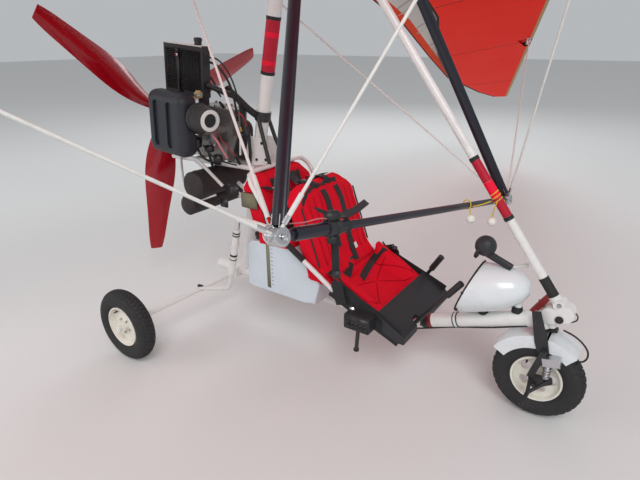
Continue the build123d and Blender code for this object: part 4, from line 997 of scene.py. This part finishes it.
for name, y in (("passenger_strap_a", -110), ("passenger_strap_b", 110)):
    strap(name, lay([(430, y, 996), (470, y, 1000), (505, y, 950), (540, y * 0.9, 860), (580, y * 0.7, 760),
                     (640, y * 0.5, 716)], BACK_WAY), 44)
strap("passenger_lap", [(600, -262, 706), (610, -200, 716), (640, -90, 712), (660, 0, 712), (640, 100, 712),
                        (610, 200, 716), (600, 262, 706)], 46, across=(1, 0, 0.1))
boxes("passenger_buckle", [(632, -30, 712, 688, 34, 728)], "black_plastic", rounding=5)
for index, (x, y, z, dx, dy) in enumerate(((560, -150, 905, 40, 60), (600, -90, 880, 50, 40),
                                           (630, -170, 860, 36, 44), (640, -60, 935, 60, 46))):
    boxes(f"harness_buckle_{index}", [(x, y, z, x + dx, y + dy, z + 14)], "black_plastic", rounding=4)
harness = (
    # points, way across
    (((520, -200, 930), (560, -170, 915), (620, -110, 905), (690, -60, 930), (712, -40, 966)),
     (0.5, 0.8, 0)),
    (((500, 60, 960), (560, 20, 930), (630, -20, 915), (690, 10, 940), (712, 60, 966)), (0.4, 0.8, 0)),
    (((585, -235, 740), (600, -205, 820), (610, -160, 868), (640, -120, 890)), (0.9, 0.3, 0.1)),
    (((540, 190, 900), (580, 140, 925), (640, 110, 935), (700, 120, 962)), (0.4, 0.8, 0)),
    (((560, -60, 950), (600, -110, 930), (640, -150, 900), (660, -190, 850)), (0.7, 0.5, 0.2)),
)
for index, (points, across) in enumerate(harness):
    strap(f"harness_{index}", points, 44, across=across)
boxes("harness_tag", [(585, -128, 919, 612, -108, 922), (548, -166, 919, 576, -140, 922)], "tag",
      rounding=1)
boxes("harness_clips", [(655, -40, 949, 690, -28, 955), (612, -84, 894, 640, -74, 900)], "bright",
      rounding=2)
boxes("rear_panel", [(404, -256, 812, 520, -250, 900)], "olive", rounding=3)


# Switch box: buttons, edge and bracket

boxes("switch_buttons", [(1136 + 24 * step, -346, 360 + 20 * row, 1150 + 24 * step, -338, 370 + 20 * row)
                         for step in range(5) for row in range(3)], "black_metal", rounding=1.5)
boxes("switch_plate", [(1126, -342, 351, 1254, -339, 419)], "black_metal", rounding=1)
turned("switch_foot", (1180, -315, 232), (1180, -315, 214), [(0, 11), (4, 14), (14, 14), (18, 10)], "rubber")
boxes("pedal_pad", [(1258, 280, 352, 1264, 306, 380)], "rubber", rounding=1.5)


# Stage, light and camera

shape = bmesh.new()
bmesh.ops.create_grid(shape, x_segments=2, y_segments=2, size=40)
mesh = bpy.data.meshes.new("floor")
shape.to_mesh(mesh)
shape.free()
mesh.materials.append(materials["floor"])
floor = bpy.data.objects.new("floor", mesh)
floor.location.z = -0.0015
link(floor)

world = bpy.data.worlds.new("studio")
bpy.context.scene.world = world
world.use_nodes = True
background = world.node_tree.nodes["Background"]
background.inputs["Color"].default_value = (0.93, 0.96, 1, 1)
background.inputs["Strength"].default_value = 0.5
lamps = (
    # name, place, size, power
    ("key", (5, -6, 8), 5, 520),
    ("fill", (-5, -7, 5), 6, 200),
    ("rim", (-3, 7, 6), 5, 200),
)
for name, place, size, power in lamps:
    data = bpy.data.lights.new(name, "AREA")
    data.size = size
    data.energy = power
    lamp = bpy.data.objects.new(name, data)
    lamp.location = place
    lamp.rotation_euler = (Vector((0, 0, 1)) - Vector(place)).to_track_quat("-Z", "Y").to_euler()
    link(lamp)

yaw, pitch, roll = (radians(angle) for angle in CAMERA_TURN)
ahead = Vector((cos(yaw) * cos(pitch), sin(yaw) * cos(pitch), -sin(pitch)))
right = Vector((sin(yaw), -cos(yaw), 0))
down = ahead.cross(right)
right, down = right * cos(roll) + down * sin(roll), down * cos(roll) - right * sin(roll)
data = bpy.data.cameras.new("camera")
data.lens = CAMERA_LENS
data.sensor_width = 36
data.clip_end = 200
camera = bpy.data.objects.new("camera", data)
camera.matrix_world = (TRIKE @ shift(*CAMERA_PLACE)
                       @ Matrix((right, -down, -ahead)).transposed().to_4x4())
link(camera)
bpy.context.scene.camera = camera
bpy.context.scene.view_settings.view_transform = "Standard"
